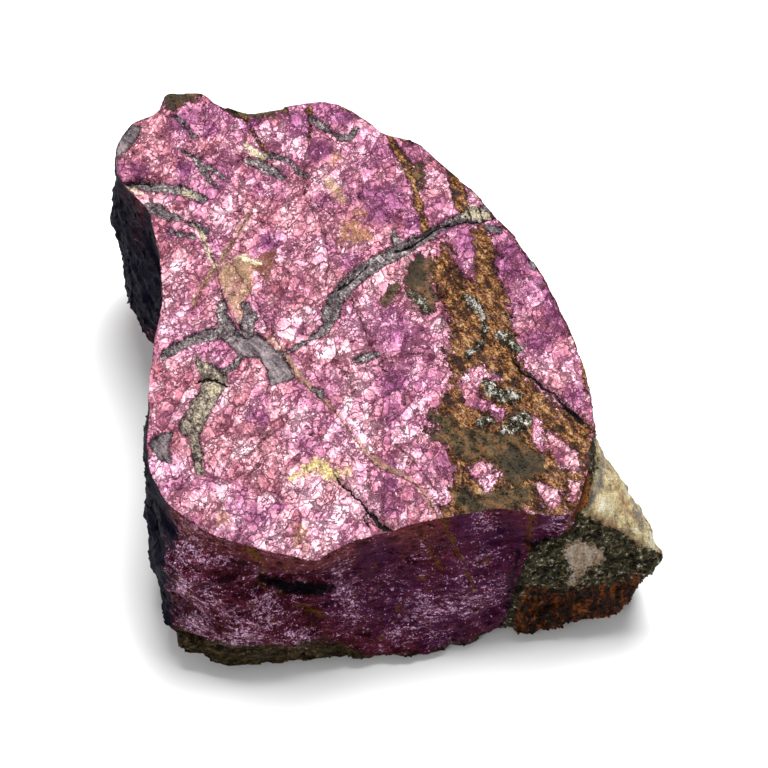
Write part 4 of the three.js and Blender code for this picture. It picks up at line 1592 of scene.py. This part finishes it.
class CleavageFinish(StoneFinish):
    """The bright face: clean cleavage with everything that lies on it."""

    def __init__(self, name: str) -> None:
        """Starts the material with the patterns that its coats share.

        Args:
            name: The material's name.
        """
        super().__init__(name)
        self.flakes = self.mosaic(0.55, (1.0, 0.6, 1.0), turn=24.0, warp=0.34)
        self.chips = self.mosaic(2.0, (1.4, 0.6, 1.0), turn=-20.0, warp=0.3)
        self.blotches = self.noise(0.75, detail=6.0, roughness=0.72, shift=13.0)
        self.fibres = self.noise(1.3, detail=4.0, roughness=0.7, stretch=(1.0, 0.3, 1.0), turn=-40.0)
        self.steep = self.noise(3.0, detail=3.0, roughness=0.65, stretch=(1.0, 0.22, 1.0), turn=-18.0)

    def cleavage(self, violet: Number, painted_sheen: Number) -> Coat:
        """Makes the coat of clean cleavage: small flakes that catch the light one by one, through their
        relief and through glints, sheen and shading painted into their colour.

        Args:
            violet: Share of the dull violet patches.
            painted_sheen: Share of the pale patches of painted sheen.

        Returns:
            The coat.
        """
        tones = CleavageTones()
        flakes, chips = self.flakes, self.chips
        cloud = self.noise(0.17, detail=4.0, roughness=0.62)
        # Painted shading and sheen: the flake tilt term makes each flake lighter on one side, as if lit
        # along its slope, and the sheen spots add painted sheen.
        light = flakes.tone.swing(0.26) + chips.tone.swing(0.06) + flakes.tilt * 0.4
        light = light + cloud.swing(0.6) + self.fine.swing(0.42) + self.blotches.swing(0.24)
        light = light + self.steep.swing(0.26)
        light = light + painted_sheen * 0.14 - violet * 0.13 + self.graph.mark("front") * 0.002 + 0.472
        light = light + self.graph.mark("tone").swing(0.12)
        hue = (self.noise(0.12, detail=5.0, roughness=0.68, shift=31.0) + flakes.other.swing(0.06)
               - violet * 0.1 + painted_sheen * 0.02)
        cool = self.ramp(light, tones.stops(tones.cool))
        warm = self.ramp(light, tones.stops(tones.warm))
        colour = cool.over(warm, hue.eased(0.34, 0.62)).over(tones.violet, violet * 0.25)
        # Painted glints: pale threads and flecks in the colour where the light value is high, standing in
        # for light caught by the cleavage.
        drawn_out = self.threads(1.6, 0.045, detail=2.0, stretch=(1.0, 0.2, 1.0), shift=5.0, turn=-34.0)
        crossed = self.threads(1.2, 0.04, detail=2.0, stretch=(0.3, 1.0, 1.0), shift=17.0, turn=20.0)
        lit = (light + self.steep.swing(0.6) + painted_sheen * 0.1).eased(0.36, 0.56)
        one_way = cloud.eased(0.45, 0.55)
        glints = (drawn_out * one_way).most(crossed * (1.0 - one_way)) * lit * 0.5
        flash = self.steep.swing(2.0) + self.fine.swing(0.7) + cloud.swing(0.3) + painted_sheen * 0.06
        glints = glints.most(flash.eased(0.29, 0.38))
        colour = colour.over(tones.glint, glints * 0.6)
        net = self.threads(0.5, 0.034, detail=3.0, shift=23.0) * self.blotches.eased(0.66, 0.52)
        rows = self.threads(1.3, 0.036, detail=2.0, stretch=(1.0, 0.25, 1.0), shift=29.0, turn=-24.0)
        rows = rows * (self.steep + (cloud - 0.5)).eased(0.54, 0.38)
        long_lines = self.threads(0.3, 0.024, detail=5.0, shift=37.0)
        lobes = self.threads(0.4, 0.02, detail=4.0, stretch=(1.0, 0.55, 1.0), shift=43.0, turn=35.0)
        lines = (net * 0.6).most(rows * 0.45).most(long_lines.most(lobes))
        edges = flakes.edge.eased(0.06, 0.025) * flakes.other.eased(0.25, 0.4)
        colour = colour.over(tones.line, lines.most(edges * 0.8) * 0.85)
        relief = flakes.tilt * 0.10 + chips.tilt * 0.014
        relief = relief + self.fine * 0.03 + self.steep * 0.06 - lines * 0.06 + glints * 0.02
        return Coat(colour, 0.3 + chips.other * 0.2, 0.28, relief)

    def vein(self) -> Coat:
        """Makes the coat of the dark granular veins with their pale flecks."""
        tones, chips = self.tones, self.chips
        shade = chips.tone.swing(0.24) + self.fine.swing(1.1) + self.blotches.swing(0.9) + 0.5
        shade = shade + self.graph.mark("tone").swing(0.16)
        outline = self.near("vein", 1.8, -0.22, 0.0)
        shade = shade - outline * 0.34
        stops = [(0.24, tones.black), (0.4, tones.grey), (0.6, tones.silver), (0.76, tones.fleck)]
        colour = self.ramp(shade, stops).over(tones.black, chips.edge.eased(0.06, 0.02) * 0.5)
        return Coat(colour, 0.42, 0.1, chips.tilt * 0.2 + self.fine * 0.22)

    def slate(self) -> Coat:
        """Makes the coat of the smooth silver-grey parts of the veins."""
        tones = self.tones
        shade = self.fibres.swing(1.4) + self.fine.swing(0.9) + self.flakes.tone.swing(0.3) + 0.3
        shade = shade - self.near("slate", 1.8, -0.3, 0.0) * 0.3
        stops = [(0.05, tones.black), (0.3, tones.grey), (0.55, tones.silver), (0.85, tones.ash)]
        colour = self.ramp(shade, stops)
        return Coat(colour, 0.4, 0.15, self.fibres * 0.25 + self.fine * 0.05)

    def green_vein(self) -> Coat:
        """Makes the coat of the greenish grey vein."""
        tones, chips = self.tones, self.chips
        shade = chips.tone.swing(0.5) + self.fine.swing(1.2) + self.blotches.swing(1.6) + 0.5
        shade = shade - self.near("green_vein", 1.6, -0.35, 0.0) * 0.3
        stops = [(0.2, tones.black), (0.34, tones.green), (0.62, tones.sage), (0.85, tones.cream)]
        colour = self.ramp(shade, stops).over(tones.black, chips.edge.eased(0.08, 0.02) * 0.7)
        return Coat(colour, 0.5, 0.05, chips.tilt * 0.18 + self.fine * 0.12)

    def rust(self) -> Coat:
        """Makes the coat of rust and ochre."""
        tones = self.tones
        shade = self.blotches.swing(2.7) + self.fibres.swing(2.8) + self.fine.swing(2.2) + 0.46
        shade = shade + self.graph.mark("tone").swing(0.3) + self.chips.tone.swing(0.4)
        stops = [(0.06, tones.olive_dark), (0.28, tones.burnt), (0.5, tones.rust), (0.76, tones.ochre),
                 (1.0, tones.straw)]
        colour = self.ramp(shade, stops).over(tones.olive_dark, self.chips.edge.eased(0.07, 0.02) * 0.6)
        relief = self.blotches * 0.35 + self.fibres * 0.3 + self.fine * 0.14
        return Coat(colour, 0.6, 0.0, relief)

    def olive(self) -> Coat:
        """Makes the coat of the dull olive crust."""
        tones = self.tones
        shade = self.blotches.swing(2.8) + self.fine.swing(1.3) + self.fibres.swing(1.4) + 0.48
        stops = [(0.05, tones.olive_dark), (0.5, tones.olive), (1.0, tones.olive_light)]
        rusty = self.fibres.eased(0.52, 0.62).most(self.blotches.eased(0.53, 0.6)) * 0.5
        colour = self.ramp(shade, stops).over(tones.rust, rusty)
        return Coat(colour, 0.75, 0.0, self.blotches * 0.3 + self.fine * 0.1)

    def nodule(self) -> Coat:
        """Makes the coat of the sparkling grey-green nodules."""
        tones, chips = self.tones, self.chips
        shade = chips.tone.swing(0.6) + self.fine.swing(2.0) + (self.blotches - 0.5) + 0.36
        shade = shade + self.graph.mark("tone").swing(0.5)
        stops = [(0.12, tones.olive_dark), (0.34, tones.olive), (0.52, tones.nodule), (0.8, tones.fleck)]
        return Coat(self.ramp(shade, stops), 0.35, 0.1, chips.tilt * 0.25 + self.fine * 0.2)

    def build(self) -> bpy.types.Material:
        """Lays the veins, stains, crusts and cracks over the cleavage.

        Returns:
            The material.
        """
        graph, tones = self.graph, self.tones
        coat = self.cleavage(graph.mark("violet").eased(-0.15, 0.7), graph.mark("painted_sheen").eased(-0.2, 0.8))
        tan = self.near("tan", 1.6, 0.4, -0.3)
        coat = self.stained(coat, tones.tan, tan * self.blotches.eased(0.34, 0.52) * 0.78)
        streaky = self.steep.eased(0.34, 0.5)
        coat = self.stained(coat, tones.ochre_spot, self.inside("ochre", 2.8, 0.6) * streaky * 0.7)
        coat = self.stained(coat, tones.brown, self.inside("brown", 0.7, 0.12) * 0.92)
        island = (graph.mark("island") + self.ragged * 3.0 + self.steep.swing(2.0)).eased(-0.12, 0.12)
        rust_edge = (graph.mark("rust") + self.ragged * 4.0 + self.fibres.swing(5.0)).eased(0.1, -0.35)
        rust_edge = rust_edge * self.blotches.eased(0.66, 0.6)
        line_edge = (graph.mark("rust_line") + self.ragged * 1.8 + self.fibres.swing(1.2)).eased(0.12, -0.1)
        coat = coat.under(self.rust(), rust_edge.most(line_edge) * island * 0.96)
        olive_edge = (graph.mark("olive") + self.ragged * 4.0 + self.fibres.swing(2.5)).eased(0.2, -0.2)
        coat = coat.under(self.olive(), olive_edge * 0.96)
        coat = self.stained(coat, tones.soot, self.inside("soot", 2.0, 0.5) * 0.7)
        for name, layer, edge_wander, soft in (
            ("slate", self.slate, 0.9, 0.05),
            ("vein", self.vein, 0.9, 0.05),
            ("green_vein", self.green_vein, 0.8, 0.05),
            ("nodule", self.nodule, 1.3, 0.08),
        ):
            coat = coat.under(layer(), self.inside(name, edge_wander, soft))
        grainy = self.fine.eased(0.34, 0.46)
        coat = self.stained(coat, tones.cream, self.inside("cream", 1.1, 0.12) * grainy * 0.8)
        coat = self.stained(coat, tones.yellow, self.inside("yellow", 2.4, 0.6) * streaky * 0.8)
        wander = self.ragged * 1.3
        thin = abs(graph.mark("crack") + wander).eased(0.16, 0.03)
        coat = self.stained(coat, tones.crack, thin * 0.85)
        gap = (abs(graph.mark("open_crack") + wander) - graph.mark("open_width")).eased(0.05, -0.04)
        return self.shade(self.stained(coat, tones.gap, gap), specular=0.12)


class BrokenFinish(StoneFinish):
    """The broken walls and the feldspar lump."""

    def walls(self) -> Coat:
        """Makes the coat of the walls: dark maroon, painted violet and pale glints, painted shade in the
        hollows and on the side facing left, stains and crust.
        """
        graph, tones = self.graph, WallTones()
        flakes = self.mosaic(1.3, (0.6, 0.6, 1.6), warp=1.2)
        cloud = self.noise(0.22, detail=4.0, roughness=0.65, shift=41.0)
        level = self.noise(1.5, detail=4.0, roughness=0.7, stretch=(0.6, 0.6, 1.5), shift=19.0)
        painted_sheen = graph.mark("wall_painted_sheen").eased(-0.3, 0.7)
        violet = self.near("wall_violet", 0.8, -0.1, 0.6)
        # Painted shading and sheen: the tilt term makes each splinter lighter on one side, and the sheen
        # spots add painted sheen.
        shade = cloud.swing(1.3) + flakes.tone.swing(0.24) + level.swing(1.3)
        shade = shade + self.fine.swing(0.9) + flakes.tilt * 0.5 + painted_sheen * 0.1 + 0.44
        colour = self.ramp(shade, [(0.1, tones.dark), (0.42, tones.maroon), (0.8, tones.wine)])
        colour = colour.over(tones.plum, violet * self.ragged.eased(-0.2, 0.15) * 0.75)
        right = graph.mark("wall_violet").eased(-0.6, 0.2)
        # Painted glints: violet and pale flecks and threads in the colour, standing in for light caught by
        # the walls.
        sparkle = level.swing(1.4) + self.fine.swing(1.8) + cloud.swing(0.5) + painted_sheen * 0.13
        sparkle = sparkle + graph.mark("tone").swing(0.12) - right * 0.07
        painted_glint_threads = self.threads(1.3, 0.045, stretch=(0.6, 0.6, 1.3), shift=83.0)
        painted_glint_threads = painted_glint_threads * (shade + painted_sheen * 0.24 - right * 0.12).eased(0.56, 0.8)
        colour = colour.over(tones.violet, sparkle.eased(0.12, 0.28) * 0.6)
        colour = colour.over(tones.glint, sparkle.eased(0.29, 0.36).most(painted_glint_threads * 0.36) * 0.95)
        lip = self.near("rim", 2.5, -3.4, -2.4) * (1.0 - violet)
        colour = colour.over(tones.lip, lip * level.eased(0.36, 0.56) * 0.55)
        stain = (self.noise(0.5, detail=6.0, roughness=0.75, shift=53.0) - 0.5) * 2.0
        back = graph.mark("facing_back").eased(-0.3, 0.5)
        rusty = (stain + back * (cloud.swing(1.6) + 0.1)).eased(0.16, 0.32)
        crack = self.near("wall_crack", 2.0, 0.12, -0.12)
        colour = colour.over(self.ramp(self.fine, [(0.34, tones.dark), (0.52, tones.stain)]),
                             (rusty * 0.75).most(crack * 0.85))
        # Painted shade: near black in the hollows under the lip, beside the lump and along the left edge.
        painted_hollow_shade = self.near("painted_hollow_shade", 1.6, 0.3, -0.3)
        colour = colour.over(tones.black, painted_hollow_shade * 0.96)
        # Painted shade: the side facing left is made near black, as if turned away from the light.
        left = graph.mark("facing_left").eased(0.5, 0.84)
        dark = self.ramp(level, [(0.36, tones.black), (0.58, tones.navy), (0.72, tones.moss_dark)])
        colour = colour.over(dark, left)
        low = self.near("height", 5.0, 2.4, 0.8) * cloud.eased(0.4, 0.5)
        low = low.most(self.near("crust", 3.4, 0.25, -0.25))
        moss = self.ramp(level * 0.6 + self.fine * 0.4, [(0.46, tones.moss_dark), (0.66, tones.moss)])
        colour = colour.over(moss, low * 0.92)
        relief = flakes.tilt * 0.16 + flakes.tone * 0.06 + level * 0.3 + self.fine * 0.1
        return Coat(colour, 0.3 + self.fine * 0.3 + left * 0.2, 0.3 - left * 0.3, relief)

    def feldspar(self) -> Coat:
        """Makes the coat of the feldspar lump."""
        tones = FeldsparTones()
        grains = self.mosaic(1.7, (1.0, 1.0, 1.0), warp=0.8)
        streaks = self.noise(0.8, detail=5.0, roughness=0.7, stretch=(1.0, 0.4, 0.4), shift=61.0)
        speck = self.noise(1.9, detail=4.0, roughness=0.75, shift=67.0)
        shade = grains.tone.swing(0.5) + speck.swing(2.2) + self.fine.swing(0.8) + 0.44
        shade = shade + self.graph.mark("tone").swing(0.3)
        stops = [(0.12, tones.black), (0.46, tones.olive), (0.78, tones.grain), (1.0, tones.white)]
        colour = self.ramp(shade, stops)
        cream_shade = streaks + self.fine.swing(0.35)
        cream = self.ramp(cream_shade, [(0.36, tones.blue_grey), (0.46, tones.cream), (0.56, tones.yellow),
                                        (0.66, tones.white)])
        amber = self.noise(0.5, detail=3.0, shift=71.0).eased(0.54, 0.64) * 0.3
        amber = amber.most(self.near("facet_amber", 2.4, 0.3, -0.3) * 0.6)
        cream = cream.over(tones.amber, amber)
        greys = (self.graph.mark("facet_grey") + self.ragged * 3.0 + streaks.swing(2.0)).eased(0.3, -0.3)
        cream = cream.over(tones.blue_grey, (greys * 0.6).most(grains.edge.eased(0.05, 0.0) * 0.5))
        colour = colour.over(cream, self.inside("cream_facet", 1.2, 0.15) * 0.96)
        pink_shade = self.fine * 0.4 + streaks * 0.6
        pink = self.ramp(pink_shade, [(0.4, tones.grain), (0.47, tones.pink), (0.68, tones.white)])
        colour = colour.over(pink, self.inside("pink_feldspar", 1.6, 0.25) * 0.85)
        stops = [(0.43, tones.black), (0.5, tones.maroon), (0.6, tones.rust)]
        rusty = self.ramp(streaks * 0.6 + speck * 0.4, stops)
        back = self.graph.mark("facing_back").eased(0.1, 0.5) * streaks.eased(0.42, 0.58)
        colour = colour.over(rusty, self.inside("lump_rust", 2.4, 0.5).most(back) * 0.92)
        contact = self.near("lump", 2.0, 1.0, 0.1)
        colour = colour.over(tones.black, contact * 0.6)
        return Coat(colour, 0.55, 0.0, grains.tilt * 0.2 + speck * 0.4 + self.fine * 0.1)

    def build(self) -> bpy.types.Material:
        """Joins the walls and the lump.

        Returns:
            The material.
        """
        lump = self.near("lump", 1.2, -0.05, 0.05)
        return self.shade(self.walls().under(self.feldspar(), lump), specular=0.06)


# How much smaller and larger a small piece may be along each axis, the sides of a plate, and the
# dents that make its corners uneven: how many in a millimetre, and their depth against its width.
LEAST_STRETCH = (0.55, 0.45, 0.5)
MOST_STRETCH = (1.6, 1.2, 1.3)
PLATE_SIDES = 5
DENTS_PER_MM = 1.6
DENT_DEPTH = 0.8


class GrainShape(Enum):
    """The shapes of the small broken pieces."""

    PLATE = "plate"
    LUMP = "lump"


@dataclass
class ScatteredGrains:
    """Small broken pieces of the stone that stand on it where one of its marks allows them.

    Attributes:
        name: Name of the piece.
        share: The stone's attribute that says where they are.
        shape: What each of them is.
        width: Mean width.
        thickness: Height of a plate against its width.
        per_square_mm: How many there are where the share is 1.
        lean: Steepest tilt against the surface, in degrees.
        seed: Chooses another scatter.
    """

    name: str
    share: str
    shape: GrainShape
    width: float
    thickness: float
    per_square_mm: float
    lean: float
    seed: int

    def build(self, stone: bpy.types.Object, material: bpy.types.Material) -> bpy.types.Object:
        """Scatters the pieces.

        Args:
            stone: The stone's fine surface.
            material: What the pieces are made of.

        Returns:
            The object that holds all of them.
        """
        tree = self._tree(material)
        carrier = bpy.data.objects.new(f"{self.name}_carrier", stone.data.copy())
        bpy.context.scene.collection.objects.link(carrier)
        modifier = carrier.modifiers.new("grains", "NODES")
        modifier.node_group = tree
        sizes = {
            "Width": self.width * MM,
            "Thickness": self.thickness,
            "Density": self.per_square_mm / MM ** 2,
            "Lean": math.radians(self.lean),
            "Seed": self.seed,
        }
        for item in tree.interface.items_tree:
            if item.name in sizes:
                modifier[item.identifier] = sizes[item.name]
        graph = bpy.context.evaluated_depsgraph_get()
        made = bpy.data.meshes.new_from_object(
            carrier.evaluated_get(graph), preserve_all_data_layers=True, depsgraph=graph)
        made.name = self.name
        carrier.modifiers.clear()
        bpy.data.objects.remove(carrier)
        grains = bpy.data.objects.new(self.name, made)
        bpy.context.scene.collection.objects.link(grains)
        return grains

    def _tree(self, material: bpy.types.Material) -> bpy.types.NodeTree:
        """Builds the Geometry Nodes tree.

        Args:
            material: What the pieces are made of.

        Returns:
            The tree.
        """
        tree = bpy.data.node_groups.new(self.name, "GeometryNodeTree")
        tree.interface.new_socket("Geometry", in_out="INPUT", socket_type="NodeSocketGeometry")
        for label in ("Width", "Thickness", "Density", "Lean"):
            tree.interface.new_socket(label, in_out="INPUT", socket_type="NodeSocketFloat")
        tree.interface.new_socket("Seed", in_out="INPUT", socket_type="NodeSocketInt")
        tree.interface.new_socket("Geometry", in_out="OUTPUT", socket_type="NodeSocketGeometry")
        graph = Graph(tree)
        given = graph.node("NodeGroupInput").outputs
        width = Number(graph, given["Width"])
        share = graph.number("GeometryNodeInputNamedAttribute", {"data_type": "FLOAT"}, {"Name": self.share})
        scatter = graph.node("GeometryNodeDistributePointsOnFaces", {}, {
            "Mesh": given["Geometry"], "Density": share * Number(graph, given["Density"]),
            "Seed": given["Seed"]}).outputs
        lean = Number(graph, given["Lean"])
        least = graph.node("ShaderNodeCombineXYZ", {}, {0: -lean, 1: -lean, 2: -math.pi}).outputs[0]
        most = graph.node("ShaderNodeCombineXYZ", {}, {0: lean, 1: lean, 2: math.pi}).outputs[0]
        turns = self._random(graph, given["Seed"], least, most)
        by = graph.node("FunctionNodeEulerToRotation", {}, {0: turns}).outputs[0]
        turned = graph.node("FunctionNodeRotateRotation", {"rotation_space": "LOCAL"},
                            {"Rotation": scatter["Rotation"], "Rotate By": by}).outputs[0]
        stretch = self._random(graph, given["Seed"], LEAST_STRETCH, MOST_STRETCH)
        placed = graph.node("GeometryNodeInstanceOnPoints", {}, {
            "Points": scatter["Points"], "Instance": self._grain(graph, width, given["Thickness"]),
            "Rotation": turned, "Scale": stretch}).outputs[0]
        tone = graph.node("FunctionNodeRandomValue", {"data_type": "FLOAT"}, {2: 0.0, 3: 1.0}).outputs[1]
        toned = graph.node("GeometryNodeStoreNamedAttribute", {"data_type": "FLOAT", "domain": "INSTANCE"},
                           {"Geometry": placed, "Name": "tone", "Value": tone}).outputs[0]
        realized = graph.node("GeometryNodeRealizeInstances", {}, {"Geometry": toned}).outputs[0]
        rough = self._roughened(graph, realized, width)
        dressed = graph.node("GeometryNodeSetMaterial", {}, {"Geometry": rough, "Material": material})
        graph.node("NodeGroupOutput", {}, {0: dressed.outputs[0]})
        return tree

    @staticmethod
    def _random(graph: Graph, seed: bpy.types.NodeSocket, least: "bpy.types.NodeSocket | tuple",
                most: "bpy.types.NodeSocket | tuple") -> bpy.types.NodeSocket:
        """Gives each grain a random vector between two limits."""
        inputs = {0: least, 1: most, "Seed": seed}
        return graph.node("FunctionNodeRandomValue", {"data_type": "FLOAT_VECTOR"}, inputs).outputs[0]

    def _grain(self, graph: Graph, width: Number, thickness: bpy.types.NodeSocket) -> bpy.types.NodeSocket:
        """Makes the shape that is scattered.

        Args:
            graph: The tree's graph.
            width: Width of the shape.
            thickness: Height of a plate against its width.

        Returns:
            Its geometry.
        """
        if self.shape is GrainShape.PLATE:
            height = width * Number(graph, thickness)
            inputs = {"Vertices": PLATE_SIDES, "Radius": width * 0.5, "Depth": height}
            return graph.node("GeometryNodeMeshCylinder", {"fill_type": "NGON"}, inputs).outputs[0]
        return graph.node("GeometryNodeMeshIcoSphere", {}, {"Radius": width * 0.5}).outputs[0]

    @staticmethod
    def _roughened(graph: Graph, geometry: bpy.types.NodeSocket, width: Number) -> bpy.types.NodeSocket:
        """Moves every corner a little, so that no two grains are alike.

        Args:
            graph: The tree's graph.
            geometry: The grains.
            width: Width of a grain.

        Returns:
            The grains with uneven corners.
        """
        place = graph.node("GeometryNodeInputPosition").outputs[0]
        dents = {"Vector": place, "Scale": DENTS_PER_MM / MM}
        uneven = graph.node("ShaderNodeTexNoise", {}, dents).outputs["Color"]
        centred = graph.node("ShaderNodeVectorMath", {"operation": "SUBTRACT"},
                             {0: uneven, 1: (MIDDLE, MIDDLE, MIDDLE)}).outputs[0]
        offset = graph.node("ShaderNodeVectorMath", {"operation": "SCALE"},
                            {0: centred, "Scale": width * DENT_DEPTH}).outputs[0]
        return graph.node("GeometryNodeSetPosition", {}, {"Geometry": geometry, "Offset": offset}).outputs[0]


# The small pieces on the bright face, and those on the walls and the lump.
FACE_GRAINS = (
    ScatteredGrains("cleavage_flakes", "flake_share", GrainShape.PLATE, width=0.7, thickness=0.06,
                    per_square_mm=1.2, lean=3.0, seed=3),
    ScatteredGrains("vein_grains", "grain_share", GrainShape.LUMP, width=0.34, thickness=1.0,
                    per_square_mm=3.6, lean=60.0, seed=5),
)
WALL_GRAINS = (
    ScatteredGrains("wall_splinters", "splinter_share", GrainShape.PLATE, width=0.8, thickness=0.1,
                    per_square_mm=0.5, lean=7.0, seed=7),
    ScatteredGrains("wall_grit", "grit_share", GrainShape.LUMP, width=0.38, thickness=1.0,
                    per_square_mm=2.0, lean=60.0, seed=9),
)


@dataclass(frozen=True)
class SoftLight:
    """A square soft light that faces the stone.

    Attributes:
        name: The light's name.
        place: Its place.
        width: Its side.
        power: Its power, in watts.
    """

    name: str
    place: tuple[float, float, float]
    width: float
    power: float

    def build(self) -> None:
        """Makes the light."""
        data = bpy.data.lights.new(self.name, "AREA")
        data.shape = "SQUARE"
        data.size = self.width * MM
        data.energy = self.power
        light = bpy.data.objects.new(self.name, data)
        bpy.context.scene.collection.objects.link(light)
        light.location = Vector(self.place) * MM
        light.rotation_euler = Vector(self.place).to_track_quat("Z", "Y").to_euler()


# The large light over and behind the stone, the small one that the cleavage mirrors to the camera,
# and the one beside the camera.
LIGHTS = (
    SoftLight("key_light", (60.0, 190.0, 560.0), width=330.0, power=5.0),
    SoftLight("glint_light", (50.0, 165.0, 520.0), width=50.0, power=0.15),
    SoftLight("fill_light", (-240.0, -420.0, 430.0), width=200.0, power=0.7),
)


@dataclass(frozen=True)
class Studio:
    """The plain pale floor and the soft light.

    Attributes:
        floor_width: Side of the floor.
        world_strength: Brightness of the surroundings.
    """

    floor_width: float = 4000.0
    world_strength: float = 0.4

    def build(self) -> None:
        """Makes the floor, the lights and the surroundings."""
        self._floor()
        for light in LIGHTS:
            light.build()
        self._world()
        bpy.context.scene.view_settings.view_transform = "Standard"

    def _floor(self) -> None:
        """Makes the floor."""
        half = self.floor_width * MM / 2
        data = bpy.data.meshes.new("floor")
        data.from_pydata([(-half, -half, 0), (half, -half, 0), (half, half, 0), (-half, half, 0)], [],
                         [(0, 1, 2, 3)])
        material = bpy.data.materials.new("pale_floor")
        material.use_nodes = True
        shader = material.node_tree.nodes["Principled BSDF"]
        shader.inputs["Base Color"].default_value = srgb(244, 244, 244)
        shader.inputs["Roughness"].default_value = 0.9
        shader.inputs["Specular IOR Level"].default_value = 0.1
        data.materials.append(material)
        floor = bpy.data.objects.new("floor", data)
        bpy.context.scene.collection.objects.link(floor)

    def _world(self) -> None:
        """Makes the even white surroundings."""
        world = bpy.data.worlds.new("studio")
        bpy.context.scene.world = world
        world.use_nodes = True
        background = world.node_tree.nodes["Background"]
        background.inputs["Color"].default_value = (1.0, 1.0, 1.0, 1.0)
        background.inputs["Strength"].default_value = self.world_strength


def main() -> None:
    """Builds the specimen and its studio."""
    logging.basicConfig(level=logging.INFO, format="%(name)s: %(message)s")
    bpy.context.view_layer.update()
    view = ViewPoint()
    view.build()
    Studio().build()

    stone = StoneSurface(view).build(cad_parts[STONE_NODE])
    cleavage = CleavageFinish("cleavage").build()
    broken = BrokenFinish("broken_stone").build()
    stone.data.materials.append(cleavage)
    stone.data.materials.append(broken)
    pieces = [stone]
    pieces += [grains.build(stone, cleavage) for grains in FACE_GRAINS]
    pieces += [grains.build(stone, broken) for grains in WALL_GRAINS]
    for piece in pieces:
        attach(piece, "root")
        piece.data.calc_loop_triangles()
        log.info("%s: %d triangles", piece.name, len(piece.data.loop_triangles))
    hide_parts(STONE_NODE)

    bpy.context.view_layer.update()


if __name__ == "__main__":
    main()
